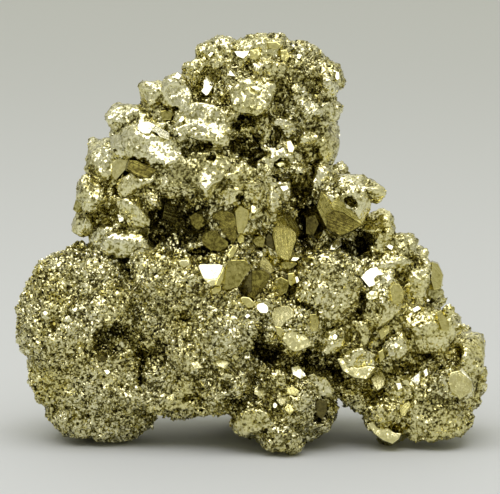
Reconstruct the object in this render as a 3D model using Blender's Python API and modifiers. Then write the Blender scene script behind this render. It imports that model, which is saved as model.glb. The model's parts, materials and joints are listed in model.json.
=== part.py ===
# Pyrite cluster: one intergrown piece of brassy boulders, crusted lobes and flat-faced crystals.
# X runs to the right, Y away from the front and Z up. It rests on small flats under four low lobes.
import math

import bmesh
import bpy
import numpy as np
from mathutils import Euler, Matrix, Vector, noise

MM = 0.001

# Driving sizes, in millimetres
REST_DEPTH = 0.0          # everything below this height is worn off flat
SURFACE_SWELL = 0.09      # how far a boulder's skin leaves its smooth form, as a share of its size
SWELL_SCALE = 1.9         # swells across one boulder
BACK_BOULDER = (2.4, 4.8)  # radius of the boulders on the hidden side
BACK_CRYSTAL = (1.1, 2.4)  # half-size of the crystals on the hidden side
BACK_SEAT = 0.88           # how far out those boulders sit, as a share of the core's radius
BACK_RIM = 0.4             # growths start this far round, so that the front's outline stays clear
BACK_LOWEST = 8.0          # and this high, so that the arches between the feet stay open
BACK_SPACING = 5.0         # area of a core, in square millimetres before scaling, for each growth there
GOLDEN_ANGLE = math.pi * (3 - math.sqrt(5))
SEED = 11
SKIN_GRAIN = 0.5           # the finest crack that stays open
WEAR_STEPS = 2
MASS_TRIANGLES = 6100     # the lumpy mass before the crystals grow out of it
PYRITE_COLOR = (0.62, 0.56, 0.33, 1)

# The solid bodies that everything grows on: x, y, z, then the three radii
CORES = {
    "left_lobe": (-24.2, 2.0, 14.9, 10.8, 12.0, 15.1),
    "middle": (-5.4, 1.0, 17.4, 15.0, 13.0, 12.6),
    "front_foot": (5.0, -4.6, 6.6, 7.8, 8.6, 6.5),
    "back_foot": (3.0, 9.5, 6.6, 8.5, 7.5, 6.7),
    "upper": (-5.4, 3.0, 40.6, 15.2, 11.0, 14.6),
    "crown": (2.8, 3.0, 53.8, 12.0, 8.5, 8.0),
    "heart": (3.8, 4.5, 29.6, 15.0, 8.5, 13.0),
    "neck": (8.6, 3.5, 45.0, 3.4, 6.5, 7.0),
    "saddle": (-16.0, 3.5, 27.0, 7.5, 8.0, 6.5),
    "right": (19.1, 2.0, 18.3, 13.4, 11.0, 12.4),
    "right_low": (26.8, -1.0, 9.2, 9.3, 9.0, 7.0),
}

# Boulders: x, y, z, three radii, squareness (2 is round, 5 is a worn block), roll in degrees
BOULDERS = {
    "crown": [
        (-4.3, -1.0, 59.6, 3.9, 4.2, 2.8, 2.2, 10),
        (1.6, -1.0, 60.0, 4.6, 5.0, 2.9, 2.4, -6),
        (7.4, 0.0, 57.7, 4.3, 4.8, 2.8, 2.3, 22),
        (11.6, 0.0, 54.4, 2.6, 4.8, 3.9, 2.4, -16),
        (11.4, -1.0, 50.4, 2.3, 3.6, 2.5, 2.6, 0),
        (2.3, -4.5, 57.3, 3.4, 3.0, 2.0, 3.0, -8),
        (-0.8, -5.5, 53.2, 3.3, 3.2, 3.1, 3.6, -28),
        (-7.8, -1.5, 57.1, 2.9, 3.4, 2.3, 2.6, -30),
        (9.2, -3.5, 51.2, 2.8, 3.0, 2.2, 2.8, 10),
        (6.1, -2.6, 54.5, 3.0, 3.0, 1.9, 2.4, 0),
    ],
    "shoulder": [
        (-11.2, -5.0, 53.9, 2.5, 2.6, 2.4, 2.3, 0),
        (-14.4, -0.5, 52.6, 3.0, 4.4, 2.5, 2.5, 35),
        (-18.6, -0.5, 49.2, 2.8, 4.4, 3.0, 3.0, 30),
        (-15.3, -4.0, 45.6, 5.1, 4.6, 4.0, 3.8, -14),
        (-21.3, 0.0, 44.0, 2.6, 4.6, 3.7, 2.4, 10),
        (-6.9, -5.5, 51.3, 3.9, 3.4, 1.9, 3.2, 8),
        (-7.6, -5.6, 47.8, 4.6, 3.4, 1.6, 3.0, -4),
        (-6.9, -5.6, 41.4, 5.7, 5.2, 4.3, 4.2, 20),
        (-16.5, -4.0, 40.9, 3.1, 3.0, 2.4, 2.8, -20),
        (-22.0, 0.0, 38.4, 3.3, 5.0, 3.5, 2.6, 0),
        (-24.0, -0.6, 34.2, 2.6, 4.2, 2.7, 2.6, -20),
        (-21.4, 0.0, 33.4, 3.4, 5.0, 3.2, 2.4, 0),
        (-17.6, -3.0, 36.8, 3.2, 3.6, 2.5, 2.6, 0),
        (-17.6, -3.2, 30.6, 4.3, 4.2, 2.8, 2.4, 10),
    ],
    "upper_right": [
        (3.4, -5.0, 44.8, 3.1, 3.1, 2.5, 3.8, -16),
        (4.6, -4.0, 48.9, 4.0, 3.0, 2.0, 2.4, 0),
        (8.7, -4.6, 47.3, 1.9, 2.2, 1.9, 2.2, 0),
        (11.5, 0.0, 45.2, 2.1, 4.4, 3.9, 2.6, 0),
        (1.2, -4.6, 40.6, 3.0, 2.8, 1.9, 2.6, 0),
        (4.1, -6.0, 38.9, 2.5, 2.9, 2.4, 3.4, 10),
        (-3.8, -7.0, 38.0, 3.5, 2.8, 2.0, 2.4, 0),
        (-0.8, -3.2, 48.5, 1.9, 2.2, 1.4, 2.2, 0),
        (10.6, -1.2, 41.0, 1.8, 3.2, 2.4, 2.4, 0),
    ],
    "right_slope": [
        (15.4, -5.0, 38.9, 4.7, 4.2, 2.8, 2.8, -6),
        (18.3, -3.8, 39.0, 1.9, 3.0, 2.1, 2.4, 0),
        (14.5, -6.0, 35.9, 4.0, 3.9, 3.3, 4.0, -24),
        (19.6, -2.2, 32.9, 2.6, 4.2, 2.7, 2.6, 30),
        (22.0, -1.5, 29.7, 2.1, 3.6, 2.3, 3.0, 34),
        (25.7, -1.8, 23.6, 3.2, 4.8, 3.3, 2.6, 34),
        (20.7, -4.8, 28.3, 4.0, 3.4, 2.3, 2.4, -14),
        (11.9, -7.0, 25.0, 4.8, 5.2, 5.3, 2.3, 0),
        (20.2, -6.6, 22.8, 3.5, 4.0, 3.8, 2.4, 0),
        (26.8, -5.8, 18.2, 4.2, 4.7, 4.2, 2.8, 0),
        (29.3, -2.8, 18.0, 2.5, 4.6, 3.2, 3.2, 34),
        (33.3, -1.8, 13.9, 3.0, 4.8, 3.3, 2.4, 0),
        (33.9, -2.6, 9.2, 2.5, 4.6, 3.0, 2.4, 0),
        (17.3, -9.0, 18.3, 1.9, 2.0, 1.9, 2.4, 0),
        (16.4, -8.4, 14.0, 3.4, 3.4, 2.9, 3.6, -28),
        (22.2, -8.2, 16.4, 2.3, 2.6, 2.5, 2.3, 0),
        (13.0, -7.8, 16.8, 3.4, 3.4, 2.4, 2.4, 0),
        (10.7, -8.8, 11.4, 2.5, 3.0, 2.6, 2.4, -30),
    ],
    "right_foot": [
        (29.0, -7.0, 9.8, 4.6, 4.0, 2.4, 2.4, 6),
        (27.5, -5.0, 5.0, 6.6, 6.2, 3.9, 2.5, 0),
        (20.7, -6.6, 5.6, 3.4, 4.4, 2.7, 2.5, -20),
        (16.0, -5.6, 7.4, 3.7, 3.4, 1.7, 2.4, 38),
        (21.6, -3.6, 2.2, 2.8, 3.0, 2.4, 3.4, -14),
    ],
    "front_foot": [
        (3.4, -12.0, 11.6, 2.1, 2.2, 2.1, 2.3, 0),
        (-2.8, -10.8, 11.2, 3.1, 3.3, 2.8, 2.4, 0),
        (6.1, -10.6, 8.6, 3.9, 4.2, 2.9, 2.4, 0),
        (0.8, -10.2, 5.6, 4.3, 4.2, 2.9, 2.5, -10),
        (5.0, -11.6, 2.6, 3.5, 3.4, 2.9, 2.3, 8),
        (10.4, -7.6, 4.6, 2.5, 3.4, 2.8, 2.4, -16),
    ],
    "middle": [
        (6.4, -8.6, 18.6, 3.2, 3.2, 3.8, 3.6, 35),
        (-3.8, -9.6, 18.4, 4.7, 4.4, 3.5, 2.3, 0),
        (-9.2, -7.8, 24.5, 6.2, 5.2, 4.1, 2.3, -8),
        (-10.7, -5.6, 9.3, 5.4, 5.4, 4.8, 2.4, 0),
        (-9.2, -8.6, 15.4, 3.9, 4.2, 3.1, 2.3, 0),
        (-5.4, -9.2, 9.0, 3.0, 3.2, 2.9, 2.4, 0),
        (-13.2, -6.4, 27.2, 4.6, 4.4, 3.3, 2.4, 10),
        (-2.3, -6.6, 28.6, 3.8, 3.6, 3.1, 2.6, 0),
        (1.8, -8.2, 22.9, 3.1, 3.2, 2.2, 2.4, 0),
        (-14.6, -5.0, 20.2, 3.0, 4.0, 4.2, 2.3, 20),
    ],
    "left_lobe": [
        (-28.6, -2.0, 24.0, 4.7, 6.2, 4.6, 2.3, -35),
        (-31.7, 0.0, 18.6, 4.0, 6.4, 5.4, 2.3, 4),
        (-29.6, 0.0, 10.8, 3.8, 6.4, 4.8, 2.3, 12),
        (-25.6, -1.0, 5.5, 4.8, 6.6, 4.7, 2.3, 25),
        (-20.2, -0.6, 4.4, 5.1, 7.0, 4.7, 2.3, -20),
        (-24.0, -2.0, 25.6, 4.8, 6.4, 4.1, 2.3, 10),
        (-27.6, -4.8, 17.7, 5.6, 5.2, 5.7, 2.2, 0),
        (-18.4, -5.2, 9.2, 3.5, 4.2, 3.9, 2.3, 0),
        (-23.6, -5.4, 9.4, 4.3, 4.2, 4.2, 2.3, 0),
        (-20.9, -5.6, 22.5, 4.7, 4.4, 2.7, 2.3, -10),
    ],
}

# Hollows cut into the mass: x, y, z, three radii, squareness, roll in degrees
HOLLOWS = [
    (-11.0, -9.0, 34.9, 4.2, 10.4, 3.2, 3.8, 0),    # the wide one under the big block
    (8.5, -8.5, 36.6, 1.9, 8.6, 5.4, 2.4, 8),      # the tall one beside the yellow crystal
    (15.6, -9.0, 32.2, 2.4, 6.0, 1.6, 2.4, -12),   # under the right boulder
    (2.9, -14.0, 15.8, 3.2, 6.5, 2.3, 2.4, -34),   # above the front foot
    (11.2, -12.0, 13.6, 3.0, 6.0, 1.5, 2.4, -36),  # the slot that runs down from it
    (13.8, -11.0, 10.4, 1.1, 5.0, 2.4, 2.4, 22),
    (25.2, -12.0, 12.9, 4.9, 6.2, 1.3, 3.0, 8),    # the slit across the right mass
    (-21.1, -11.0, 16.6, 3.2, 5.4, 3.2, 2.4, 20),  # in the left lobe
    (-13.6, -11.5, 15.2, 2.4, 4.4, 2.6, 2.4, 10),
    (10.8, -15.0, 5.8, 1.0, 5.0, 1.4, 2.4, 0),     # the small dark hole in the foot
    (9.3, -8.0, 55.4, 1.9, 4.6, 1.6, 2.4, 0),      # under the crown
    (-15.9, -7.5, 50.9, 1.7, 4.0, 1.1, 2.4, 0),
    (-8.4, -9.5, 45.6, 3.4, 3.0, 0.5, 3.0, 4),     # the crack over the big block
    (-0.8, -6.6, 46.2, 1.6, 4.4, 2.4, 2.4, 0),
]

# Crystals: habit, x, y, z, half-sizes across, deep and tall, then yaw, tilt and roll in degrees
CRYSTALS = [
    ("octahedron", -5.8, -11.0, 27.4, 2.9, 2.9, 2.9, 0, 30, 180),
    ("pyritohedron", -4.0, -9.2, 34.6, 2.5, 2.6, 2.8, 8, -2, 30),
    ("pyritohedron", -5.2, -10.0, 32.0, 2.5, 2.6, 2.3, -6, -4, 0),
    ("cube", -1.1, -8.6, 35.0, 1.3, 2.4, 2.6, -24, 6, 6),
    ("cube", -2.2, -10.6, 27.3, 2.1, 2.4, 2.5, -14, 2, 16),
    ("pyritohedron", 0.8, -10.6, 25.6, 2.6, 2.4, 2.7, 12, -8, 24),
    ("pyritohedron", 5.4, -6.8, 32.9, 2.4, 3.4, 4.2, -10, 4, 8),
    ("cube", 4.7, -9.2, 25.3, 2.0, 2.0, 1.9, 20, 12, 20),
    ("pyritohedron", -0.5, -12.4, 23.2, 1.5, 1.2, 1.2, 0, 10, 20),
    ("octahedron", 1.8, -11.2, 22.2, 1.6, 1.6, 1.6, 6, 24, 20),
    ("cube", 5.0, -10.2, 20.8, 1.9, 1.8, 2.0, -8, 12, 6),
    ("cube", 7.1, -10.4, 17.0, 2.2, 1.9, 1.9, 6, 8, 34),
    ("cube", 7.2, -11.0, 12.3, 1.2, 1.4, 1.2, 10, 28, 34),
    ("pyritohedron", 4.0, -14.2, 7.6, 0.8, 0.8, 0.8, -20, 20, 0),
    ("cube", 4.9, -14.2, 8.4, 0.8, 0.8, 0.8, 10, 26, 20),
    ("pyritohedron", 5.9, -14.2, 7.2, 1.0, 1.0, 1.1, 10, 5, 40),
    ("cube", -4.3, -12.8, 13.8, 1.1, 1.2, 1.1, -20, 16, 24),
    ("cube", -1.4, -12.2, 15.8, 0.9, 1.2, 0.9, 0, 28, 8),
    ("cube", -6.1, -6.6, 56.0, 1.3, 1.8, 2.0, -8, 32, 14),
    ("cube", -2.8, -6.0, 57.4, 1.0, 1.0, 1.0, 14, 30, 40),
    ("cube", -15.9, -6.6, 49.2, 1.9, 2.0, 1.4, -4, 34, -6),
    ("cube", -13.1, -7.2, 48.4, 1.4, 1.6, 1.3, 8, 30, -20),
    ("cube", -17.6, -5.6, 42.5, 2.4, 2.4, 1.7, 10, -14, -22),
    ("cube", -20.2, -4.2, 43.0, 1.6, 1.6, 1.9, -24, 4, -30),
    ("pyritohedron", -25.4, -0.8, 36.8, 1.7, 2.2, 2.0, -30, 0, 20),
    ("cube", -19.7, -4.8, 35.0, 0.9, 1.2, 1.2, -6, 30, 8),
    ("pyritohedron", 14.2, -7.6, 34.8, 3.4, 3.4, 3.0, -16, -10, 20),
    ("pyritohedron", 13.0, -8.6, 31.4, 1.1, 1.2, 1.2, 4, 28, 0),
    ("cube", 18.7, -9.0, 26.4, 1.8, 1.8, 1.3, -4, 34, 28),
    ("pyritohedron", 22.4, -9.4, 24.6, 1.2, 1.6, 1.8, 10, 10, 0),
    ("pyritohedron", 18.5, -9.8, 23.9, 1.2, 1.2, 1.1, 0, 18, 30),
    ("cube", 28.6, -5.6, 19.0, 2.0, 2.4, 2.5, 22, 10, 30),
    ("cube", 25.4, -9.2, 21.6, 1.1, 1.3, 1.2, 6, 28, 12),
    ("octahedron", 20.7, -9.0, 17.8, 1.7, 1.7, 1.7, 0, 12, 180),
    ("cube", 15.2, -10.6, 12.6, 2.4, 1.2, 1.1, 0, 16, -26),
    ("cube", 19.7, -9.6, 10.6, 1.2, 1.4, 2.0, 6, 8, -8),
    ("cube", 25.3, -9.9, 11.2, 1.0, 1.4, 1.2, -8, 26, -14),
    ("cube", 26.9, -9.6, 12.0, 0.8, 1.2, 0.9, 4, 28, 8),
    ("pyritohedron", 32.1, -7.4, 9.4, 2.3, 2.2, 2.5, 10, 4, 10),
    ("cube", 22.8, -10.2, 9.9, 0.9, 1.1, 0.9, 0, 26, 34),
    ("cube", 21.5, -5.6, 2.4, 2.2, 2.0, 1.9, -4, 10, 34),
    ("cube", 23.6, -9.8, 5.8, 1.1, 1.2, 1.6, 0, 4, 28),
    ("cube", -22.1, -8.6, 12.2, 1.1, 1.2, 0.8, 0, 30, -10),
    ("cube", 5.1, -8.4, 40.4, 1.2, 1.2, 0.9, 6, 30, -8),
    ("cube", 6.1, -7.2, 46.7, 1.2, 1.4, 1.5, 8, 26, 20),
    ("cube", -1.2, -5.2, 59.9, 1.5, 1.4, 1.1, 0, 34, 10),
    ("cube", 12.3, -3.6, 56.4, 0.9, 1.4, 1.2, 14, 24, 6),
    ("pyritohedron", 7.7, -3.9, 59.2, 1.1, 1.2, 1.0, 6, 30, 0),
    ("cube", -10.6, -3.4, 56.2, 1.1, 1.4, 1.1, -10, 30, 34),
    ("cube", 13.2, -3.0, 42.4, 1.1, 1.6, 1.0, 12, 26, 34),
    ("pyritohedron", -9.9, -10.2, 28.2, 1.3, 1.6, 1.1, -4, 16, 10),
    ("pyritohedron", 27.5, -5.8, 23.6, 0.9, 1.2, 1.0, 6, 26, 0),
    ("pyritohedron", 27.0, -3.0, 24.2, 2.0, 2.8, 2.7, 30, 4, 20),
    ("cube", -12.6, 0.4, 35.0, 1.3, 1.6, 1.5, 30, 20, 20),
    ("pyritohedron", 9.8, -2.6, 33.8, 2.2, 2.2, 2.6, -20, 0, 0),
]


def clear_scene():
    for obj in list(bpy.data.objects):
        bpy.data.objects.remove(obj)


def new_collection(name):
    collection = bpy.data.collections.new(name)
    bpy.context.scene.collection.children.link(collection)
    return collection


def pyrite_material():
    material = bpy.data.materials.new("pyrite")
    material.use_nodes = True
    shader = material.node_tree.nodes["Principled BSDF"]
    shader.inputs["Base Color"].default_value = PYRITE_COLOR
    shader.inputs["Metallic"].default_value = 1.0
    shader.inputs["Roughness"].default_value = 0.25
    return material


def into(collection, obj):
    for holder in list(obj.users_collection):
        holder.objects.unlink(obj)
    collection.objects.link(obj)


def boulder(collection, name, place, radii, squareness=2.0, roll=0.0, turn=(0.0, 0.0), rings=2):
    """An icosphere whose radius follows 1 / (|x|^n + |y|^n + |z|^n)^(1/n), swollen a little by noise."""
    bpy.ops.mesh.primitive_ico_sphere_add(subdivisions=rings, radius=1.0)
    obj = bpy.context.object
    obj.name = name
    into(collection, obj)
    for vertex in obj.data.vertices:
        direction = vertex.co.normalized()
        reach = sum(abs(part) ** squareness for part in direction) ** (-1 / squareness)
        swell = noise.noise(direction * SWELL_SCALE + Vector(place) * 0.37)
        vertex.co = direction * reach * (1 + SURFACE_SWELL * swell)
    turned = Euler((math.radians(turn[0]), math.radians(roll), math.radians(turn[1]))).to_matrix()
    shape = turned @ Matrix.Diagonal(Vector(radii) * MM)
    obj.data.transform(shape.to_4x4())
    obj.data.transform(Matrix.Translation(Vector(place) * MM))
    return obj


def habit_corners(habit):
    """The corners of a crystal form that fits a cube of half-size 1, and the normal of one of its faces."""
    signs = [Vector((x, y, z)) for x in (-1, 1) for y in (-1, 1) for z in (-1, 1)]
    if habit == "cube":
        return signs, Vector((0, -1, 0))
    if habit == "octahedron":
        corners = [Vector(axis) * side for axis in ((1, 0, 0), (0, 1, 0), (0, 0, 1)) for side in (-1, 1)]
        return corners, Vector((-1, -1, 1)).normalized()
    # pyritohedron: the cube's corners at 2/3, and two points of its own roof line over each face
    corners = [corner * (2 / 3) for corner in signs]
    for first in (-1, 1):
        for second in (-0.5, 0.5):
            roof = (0.0, float(first), second)
            corners += [Vector(roof[turn:] + roof[:turn]) for turn in range(3)]
    return corners, Vector((1, -2, 0)).normalized()


def crystal(collection, name, habit, place, halves, yaw, tilt, roll):
    """The hull of a habit's corners, with one face turned to the front, then rolled, tilted up and yawed."""
    corners, face = habit_corners(habit)
    to_front = face.rotation_difference(Vector((0, -1, 0))).to_matrix()
    turned = (
        Matrix.Rotation(math.radians(yaw), 3, "Z")
        @ Matrix.Rotation(math.radians(-tilt), 3, "X")
        @ Matrix.Rotation(math.radians(roll), 3, "Y")
    )
    shape = turned @ Matrix.Diagonal(Vector(halves) * MM) @ to_front
    form = bmesh.new()
    for corner in corners:
        form.verts.new(shape @ corner + Vector(place) * MM)
    bmesh.ops.convex_hull(form, input=form.verts)
    bmesh.ops.dissolve_limit(form, angle_limit=math.radians(1), verts=form.verts, edges=form.edges)
    bmesh.ops.recalc_face_normals(form, faces=form.faces)
    mesh = bpy.data.meshes.new(name)
    form.to_mesh(mesh)
    form.free()
    obj = bpy.data.objects.new(name, mesh)
    collection.objects.link(obj)
    return obj


def back_growths():
    """Rows for the hidden side: boulders, and a crystal on every second one, along a golden spiral on each core."""
    dice = np.random.default_rng(SEED)
    boulders, crystals = [], []
    for x, y, z, rx, ry, rz in CORES.values():
        count = round((rx * ry * rz) ** (2 / 3) / BACK_SPACING)
        for i in range(count):
            height = 1 - 2 * (i + 0.5) / count
            level = math.sqrt(1 - height * height)
            direction = Vector((level * math.cos(GOLDEN_ANGLE * i), level * math.sin(GOLDEN_ANGLE * i), height))
            size = dice.uniform(*BACK_BOULDER) * dice.uniform(0.8, 1.15, 3)
            turn = dice.uniform(-40, 40, 3)
            habit = ("cube", "pyritohedron")[int(dice.integers(2))]
            half = dice.uniform(*BACK_CRYSTAL)
            yaw, tilt = dice.uniform(-35, 35, 2)
            reach = Vector((direction.x * rx, direction.y * ry, direction.z * rz))
            if direction.y < BACK_RIM or z + reach.z < BACK_LOWEST:
                continue
            squareness = 3.9 if i % 3 == 0 else 2.3
            boulders.append((Vector((x, y, z)) + reach * BACK_SEAT, size, squareness, turn[0], turn[1:]))
            if i % 3:
                continue
            yaw += 180 - math.degrees(math.atan2(direction.x, direction.y))
            crystals.append((habit, Vector((x, y, z)) + reach * 1.16, (half, half, half * 1.1), yaw, tilt, turn[0]))
    return boulders, crystals


def lay_boulders(collection, back_rows):
    for name, (x, y, z, *radii) in CORES.items():
        boulder(collection, f"core_{name}", (x, y, z), radii, rings=3)
    for group, rows in BOULDERS.items():
        for i, (x, y, z, rx, ry, rz, squareness, roll) in enumerate(rows):
            boulder(collection, f"{group}_{i}", (x, y, z), (rx, ry, rz), squareness, roll)
    for i, row in enumerate(back_rows):
        boulder(collection, f"back_{i}", *row)


def lay_crystals(collection, back_rows):
    for i, (habit, x, y, z, wide, deep, tall, yaw, tilt, roll) in enumerate(CRYSTALS):
        crystal(collection, f"crystal_{i}", habit, (x, y, z), (wide, deep, tall), yaw, tilt, roll)
    for i, row in enumerate(back_rows):
        crystal(collection, f"back_crystal_{i}", *row)


def lay_hollows(collection):
    for i, (x, y, z, rx, ry, rz, squareness, roll) in enumerate(HOLLOWS):
        yield boulder(collection, f"hollow_{i}", (x, y, z), (rx, ry, rz), squareness, roll)


def join_all(name, collection):
    """One closed skin round everything in the collection."""
    first, *others = list(collection.objects)
    rest = new_collection(name + "_grown_on")
    for obj in others:
        into(rest, obj)
    union = first.modifiers.new("grown together", "BOOLEAN")
    union.operation = "UNION"
    union.operand_type = "COLLECTION"
    union.collection = rest
    graph = bpy.context.evaluated_depsgraph_get()
    mesh = bpy.data.meshes.new_from_object(first.evaluated_get(graph))
    for obj in list(rest.objects) + [first]:
        bpy.data.objects.remove(obj)
    joined = bpy.data.objects.new(name, mesh)
    collection.objects.link(joined)
    return joined


def keep_outer_skin(obj):
    """Drops the walls of voids that lie sealed inside."""
    form = bmesh.new()
    form.from_mesh(obj.data)
    left = set(form.verts)
    shells = []
    while left:
        shell, front = set(), {left.pop()}
        while front:
            shell |= front
            front = {e.other_vert(v) for v in front for e in v.link_edges} - shell
        left -= shell
        shells.append(shell)
    outer = max(shells, key=len)
    bmesh.ops.delete(form, geom=[v for v in form.verts if v not in outer], context="VERTS")
    form.to_mesh(obj.data)
    form.free()


def cut(obj, cutters):
    for cutter in cutters:
        cutter.hide_render = True
        cutter.display_type = "WIRE"
        carve = obj.modifiers.new("hollow " + cutter.name, "BOOLEAN")
        carve.operation = "DIFFERENCE"
        carve.object = cutter


def floor_cutter(collection):
    """Takes off what would lie below the surface the cluster rests on."""
    size = 120 * MM
    bpy.ops.mesh.primitive_cube_add(size=size, location=(0, 0, REST_DEPTH * MM - size / 2))
    floor = bpy.context.object
    floor.name = "below_rest"
    into(collection, floor)
    return floor


def bake(obj):
    """Makes the modifiers' result the object's own mesh."""
    graph = bpy.context.evaluated_depsgraph_get()
    mesh = bpy.data.meshes.new_from_object(obj.evaluated_get(graph))
    obj.modifiers.clear()
    obj.data = mesh


def weather(obj, triangles):
    """Closes the finest cracks, softens the edges and joins facets until about this many triangles are left."""
    skin = obj.modifiers.new("one skin", "REMESH")
    skin.mode = "VOXEL"
    skin.voxel_size = SKIN_GRAIN * MM
    worn = obj.modifiers.new("worn edges", "SMOOTH")
    worn.factor = 0.5
    worn.iterations = WEAR_STEPS
    bake(obj)
    keep_outer_skin(obj)
    now = sum(len(face.vertices) - 2 for face in obj.data.polygons)
    fewer = obj.modifiers.new("fewer facets", "DECIMATE")
    fewer.ratio = min(1.0, triangles / now)
    bake(obj)


def stand_on_origin(obj):
    """Puts the origin at the middle of the underside of the box."""
    points = np.empty(len(obj.data.vertices) * 3, np.float32)
    obj.data.vertices.foreach_get("co", points)
    points = points.reshape(-1, 3)
    low, high = points.min(0), points.max(0)
    middle = Vector(((low[0] + high[0]) / 2, (low[1] + high[1]) / 2, low[2]))
    obj.data.transform(Matrix.Translation(-middle))
    print("origin was at (mm)", [round(part / MM, 3) for part in middle])


def build():
    clear_scene()
    cluster = new_collection("pyrite cluster")
    cutters = new_collection("cutters")
    back_boulders, back_crystals = back_growths()
    lay_boulders(cluster, back_boulders)
    mass = join_all("mass", cluster)
    cut(mass, lay_hollows(cutters))
    weather(mass, MASS_TRIANGLES)
    lay_crystals(cluster, back_crystals)
    whole = join_all("pyrite_cluster", cluster)
    cut(whole, [floor_cutter(cutters)])
    bake(whole)
    keep_outer_skin(whole)
    stand_on_origin(whole)
    whole.data.materials.clear()
    whole.data.materials.append(pyrite_material())
    print("triangles", sum(len(face.vertices) - 2 for face in whole.data.polygons))


build()
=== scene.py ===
# Pyrite cluster: brassy boulders, a sugary crust of tiny crystals, and flat-faced crystals, built in place of the
# imported solid, which is hidden.
# Tables are in millimetres, with X to the right, Y away from the front and Z up.
import json
import math

import bpy
import numpy as np
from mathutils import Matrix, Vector

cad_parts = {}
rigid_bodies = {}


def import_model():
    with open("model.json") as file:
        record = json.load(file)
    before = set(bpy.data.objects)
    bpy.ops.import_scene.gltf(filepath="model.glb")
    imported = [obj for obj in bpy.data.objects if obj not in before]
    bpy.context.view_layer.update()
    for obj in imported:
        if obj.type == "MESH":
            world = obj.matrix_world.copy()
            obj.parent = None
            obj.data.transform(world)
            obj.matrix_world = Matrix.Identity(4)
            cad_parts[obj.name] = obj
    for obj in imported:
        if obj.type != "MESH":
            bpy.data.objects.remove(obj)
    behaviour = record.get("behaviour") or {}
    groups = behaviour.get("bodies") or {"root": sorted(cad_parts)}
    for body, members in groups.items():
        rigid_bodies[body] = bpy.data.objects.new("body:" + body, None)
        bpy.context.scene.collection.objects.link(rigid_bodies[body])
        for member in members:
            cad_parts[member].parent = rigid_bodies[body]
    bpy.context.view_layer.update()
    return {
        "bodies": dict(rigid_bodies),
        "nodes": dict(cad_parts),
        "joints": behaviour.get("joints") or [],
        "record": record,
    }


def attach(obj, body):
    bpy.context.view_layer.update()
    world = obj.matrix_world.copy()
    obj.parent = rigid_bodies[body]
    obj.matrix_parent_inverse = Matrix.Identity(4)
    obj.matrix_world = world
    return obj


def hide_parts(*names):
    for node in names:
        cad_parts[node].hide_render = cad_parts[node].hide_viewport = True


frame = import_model()
mm = 0.001

# where the tables' own zero lies in the frame, in millimetres
layout = {"origin": (0.327, 1.51, 0.0), "seed": 11, "floor": 0.02}   # nothing laid on the skin reaches lower than floor
far = 9.0   # further than anything that is looked for


# whole-array randomness and noise

# salts of the random draws that more than one function repeats
boulderSalt = 21
facetSalt = 40
toneSalt = 65
goldSalt = 67


def dice(cells, salt):
    # A repeatable number in 0..1 for each whole-number cell: its three parts times large odd factors, mixed twice.
    parts = np.asarray(cells).astype(np.int64).view(np.uint64)
    mixed = parts[..., 0] * np.uint64(73856093) ^ parts[..., 1] * np.uint64(19349663)
    mixed = mixed ^ parts[..., 2] * np.uint64(83492791) ^ np.uint64(salt * 2654435761 + 97)
    mixed = (mixed ^ (mixed >> np.uint64(15))) * np.uint64(0x2C1B3C6D)
    mixed = (mixed ^ (mixed >> np.uint64(12))) * np.uint64(0x297A2D39)
    mixed = mixed ^ (mixed >> np.uint64(15))
    return (mixed & np.uint64(0xFFFFFF)).astype(float) / 0xFFFFFF


def smoothNoise(points, size, salt):
    # Random values at the corners of cubes of this size, blended by 3t^2 - 2t^3 between them. From -1 to 1.
    scaled = points / size
    home = np.floor(scaled)
    t = scaled - home
    t = t * t * (3 - 2 * t)
    total = 0
    for corner in np.ndindex(2, 2, 2):
        share = np.prod(np.where(corner, t, 1 - t), axis=-1)
        total = total + share * dice(home + np.array(corner), salt)
    return 2 * total - 1


def nearestSeeds(points, size, salt):
    # Space in cubes of this size with one seed thrown in each: each point's nearest seed, the way to it, and how
    # much further off the second nearest is.
    scaled = points / size
    home = np.floor(scaled).astype(np.int64)
    best = np.full(len(points), far)
    second = best.copy()
    owner = home.copy()
    away = np.zeros_like(scaled)
    for step in np.ndindex(3, 3, 3):
        cell = home + np.array(step) - 1
        gap = scaled - cell - np.stack([dice(cell, salt + axis) for axis in range(3)], -1)
        reach = (gap ** 2).sum(-1)
        closer = reach < best
        second = np.where(closer, best, np.minimum(second, reach))
        best = np.where(closer, reach, best)
        owner = np.where(closer[:, None], cell, owner)
        away = np.where(closer[:, None], gap, away)
    return owner, away * size, (np.sqrt(second) - np.sqrt(best)) * size


# forms and frames
def turns(rx, ry, rz):
    # Rotation matrices Rz Ry Rx for whole arrays of angles in degrees.
    a, b, c = (np.radians(np.atleast_1d(part).astype(float)) for part in (rx, ry, rz))
    ca, sa, cb, sb, cc, sc = np.cos(a), np.sin(a), np.cos(b), np.sin(b), np.cos(c), np.sin(c)
    rows = [
        [cc * cb, cc * sb * sa - sc * ca, cc * sb * ca + sc * sa],
        [sc * cb, sc * sb * sa + cc * ca, sc * sb * ca - cc * sa],
        [-sb, cb * sa, cb * ca],
    ]
    return np.moveaxis(np.array(rows), -1, 0)


def framesOn(normals):
    # A frame on each normal: two directions across it, then the normal itself, as the columns of a matrix.
    side = np.where(np.abs(normals[:, 2:]) < 0.9, (0.0, 0.0, 1.0), (1.0, 0.0, 0.0))
    first = np.cross(side, normals)
    first /= np.linalg.norm(first, axis=1, keepdims=True)
    return np.stack([first, np.cross(normals, first), normals], -1)


def unitRows(vectors):
    return vectors / np.linalg.norm(vectors, axis=-1, keepdims=True)


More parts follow.
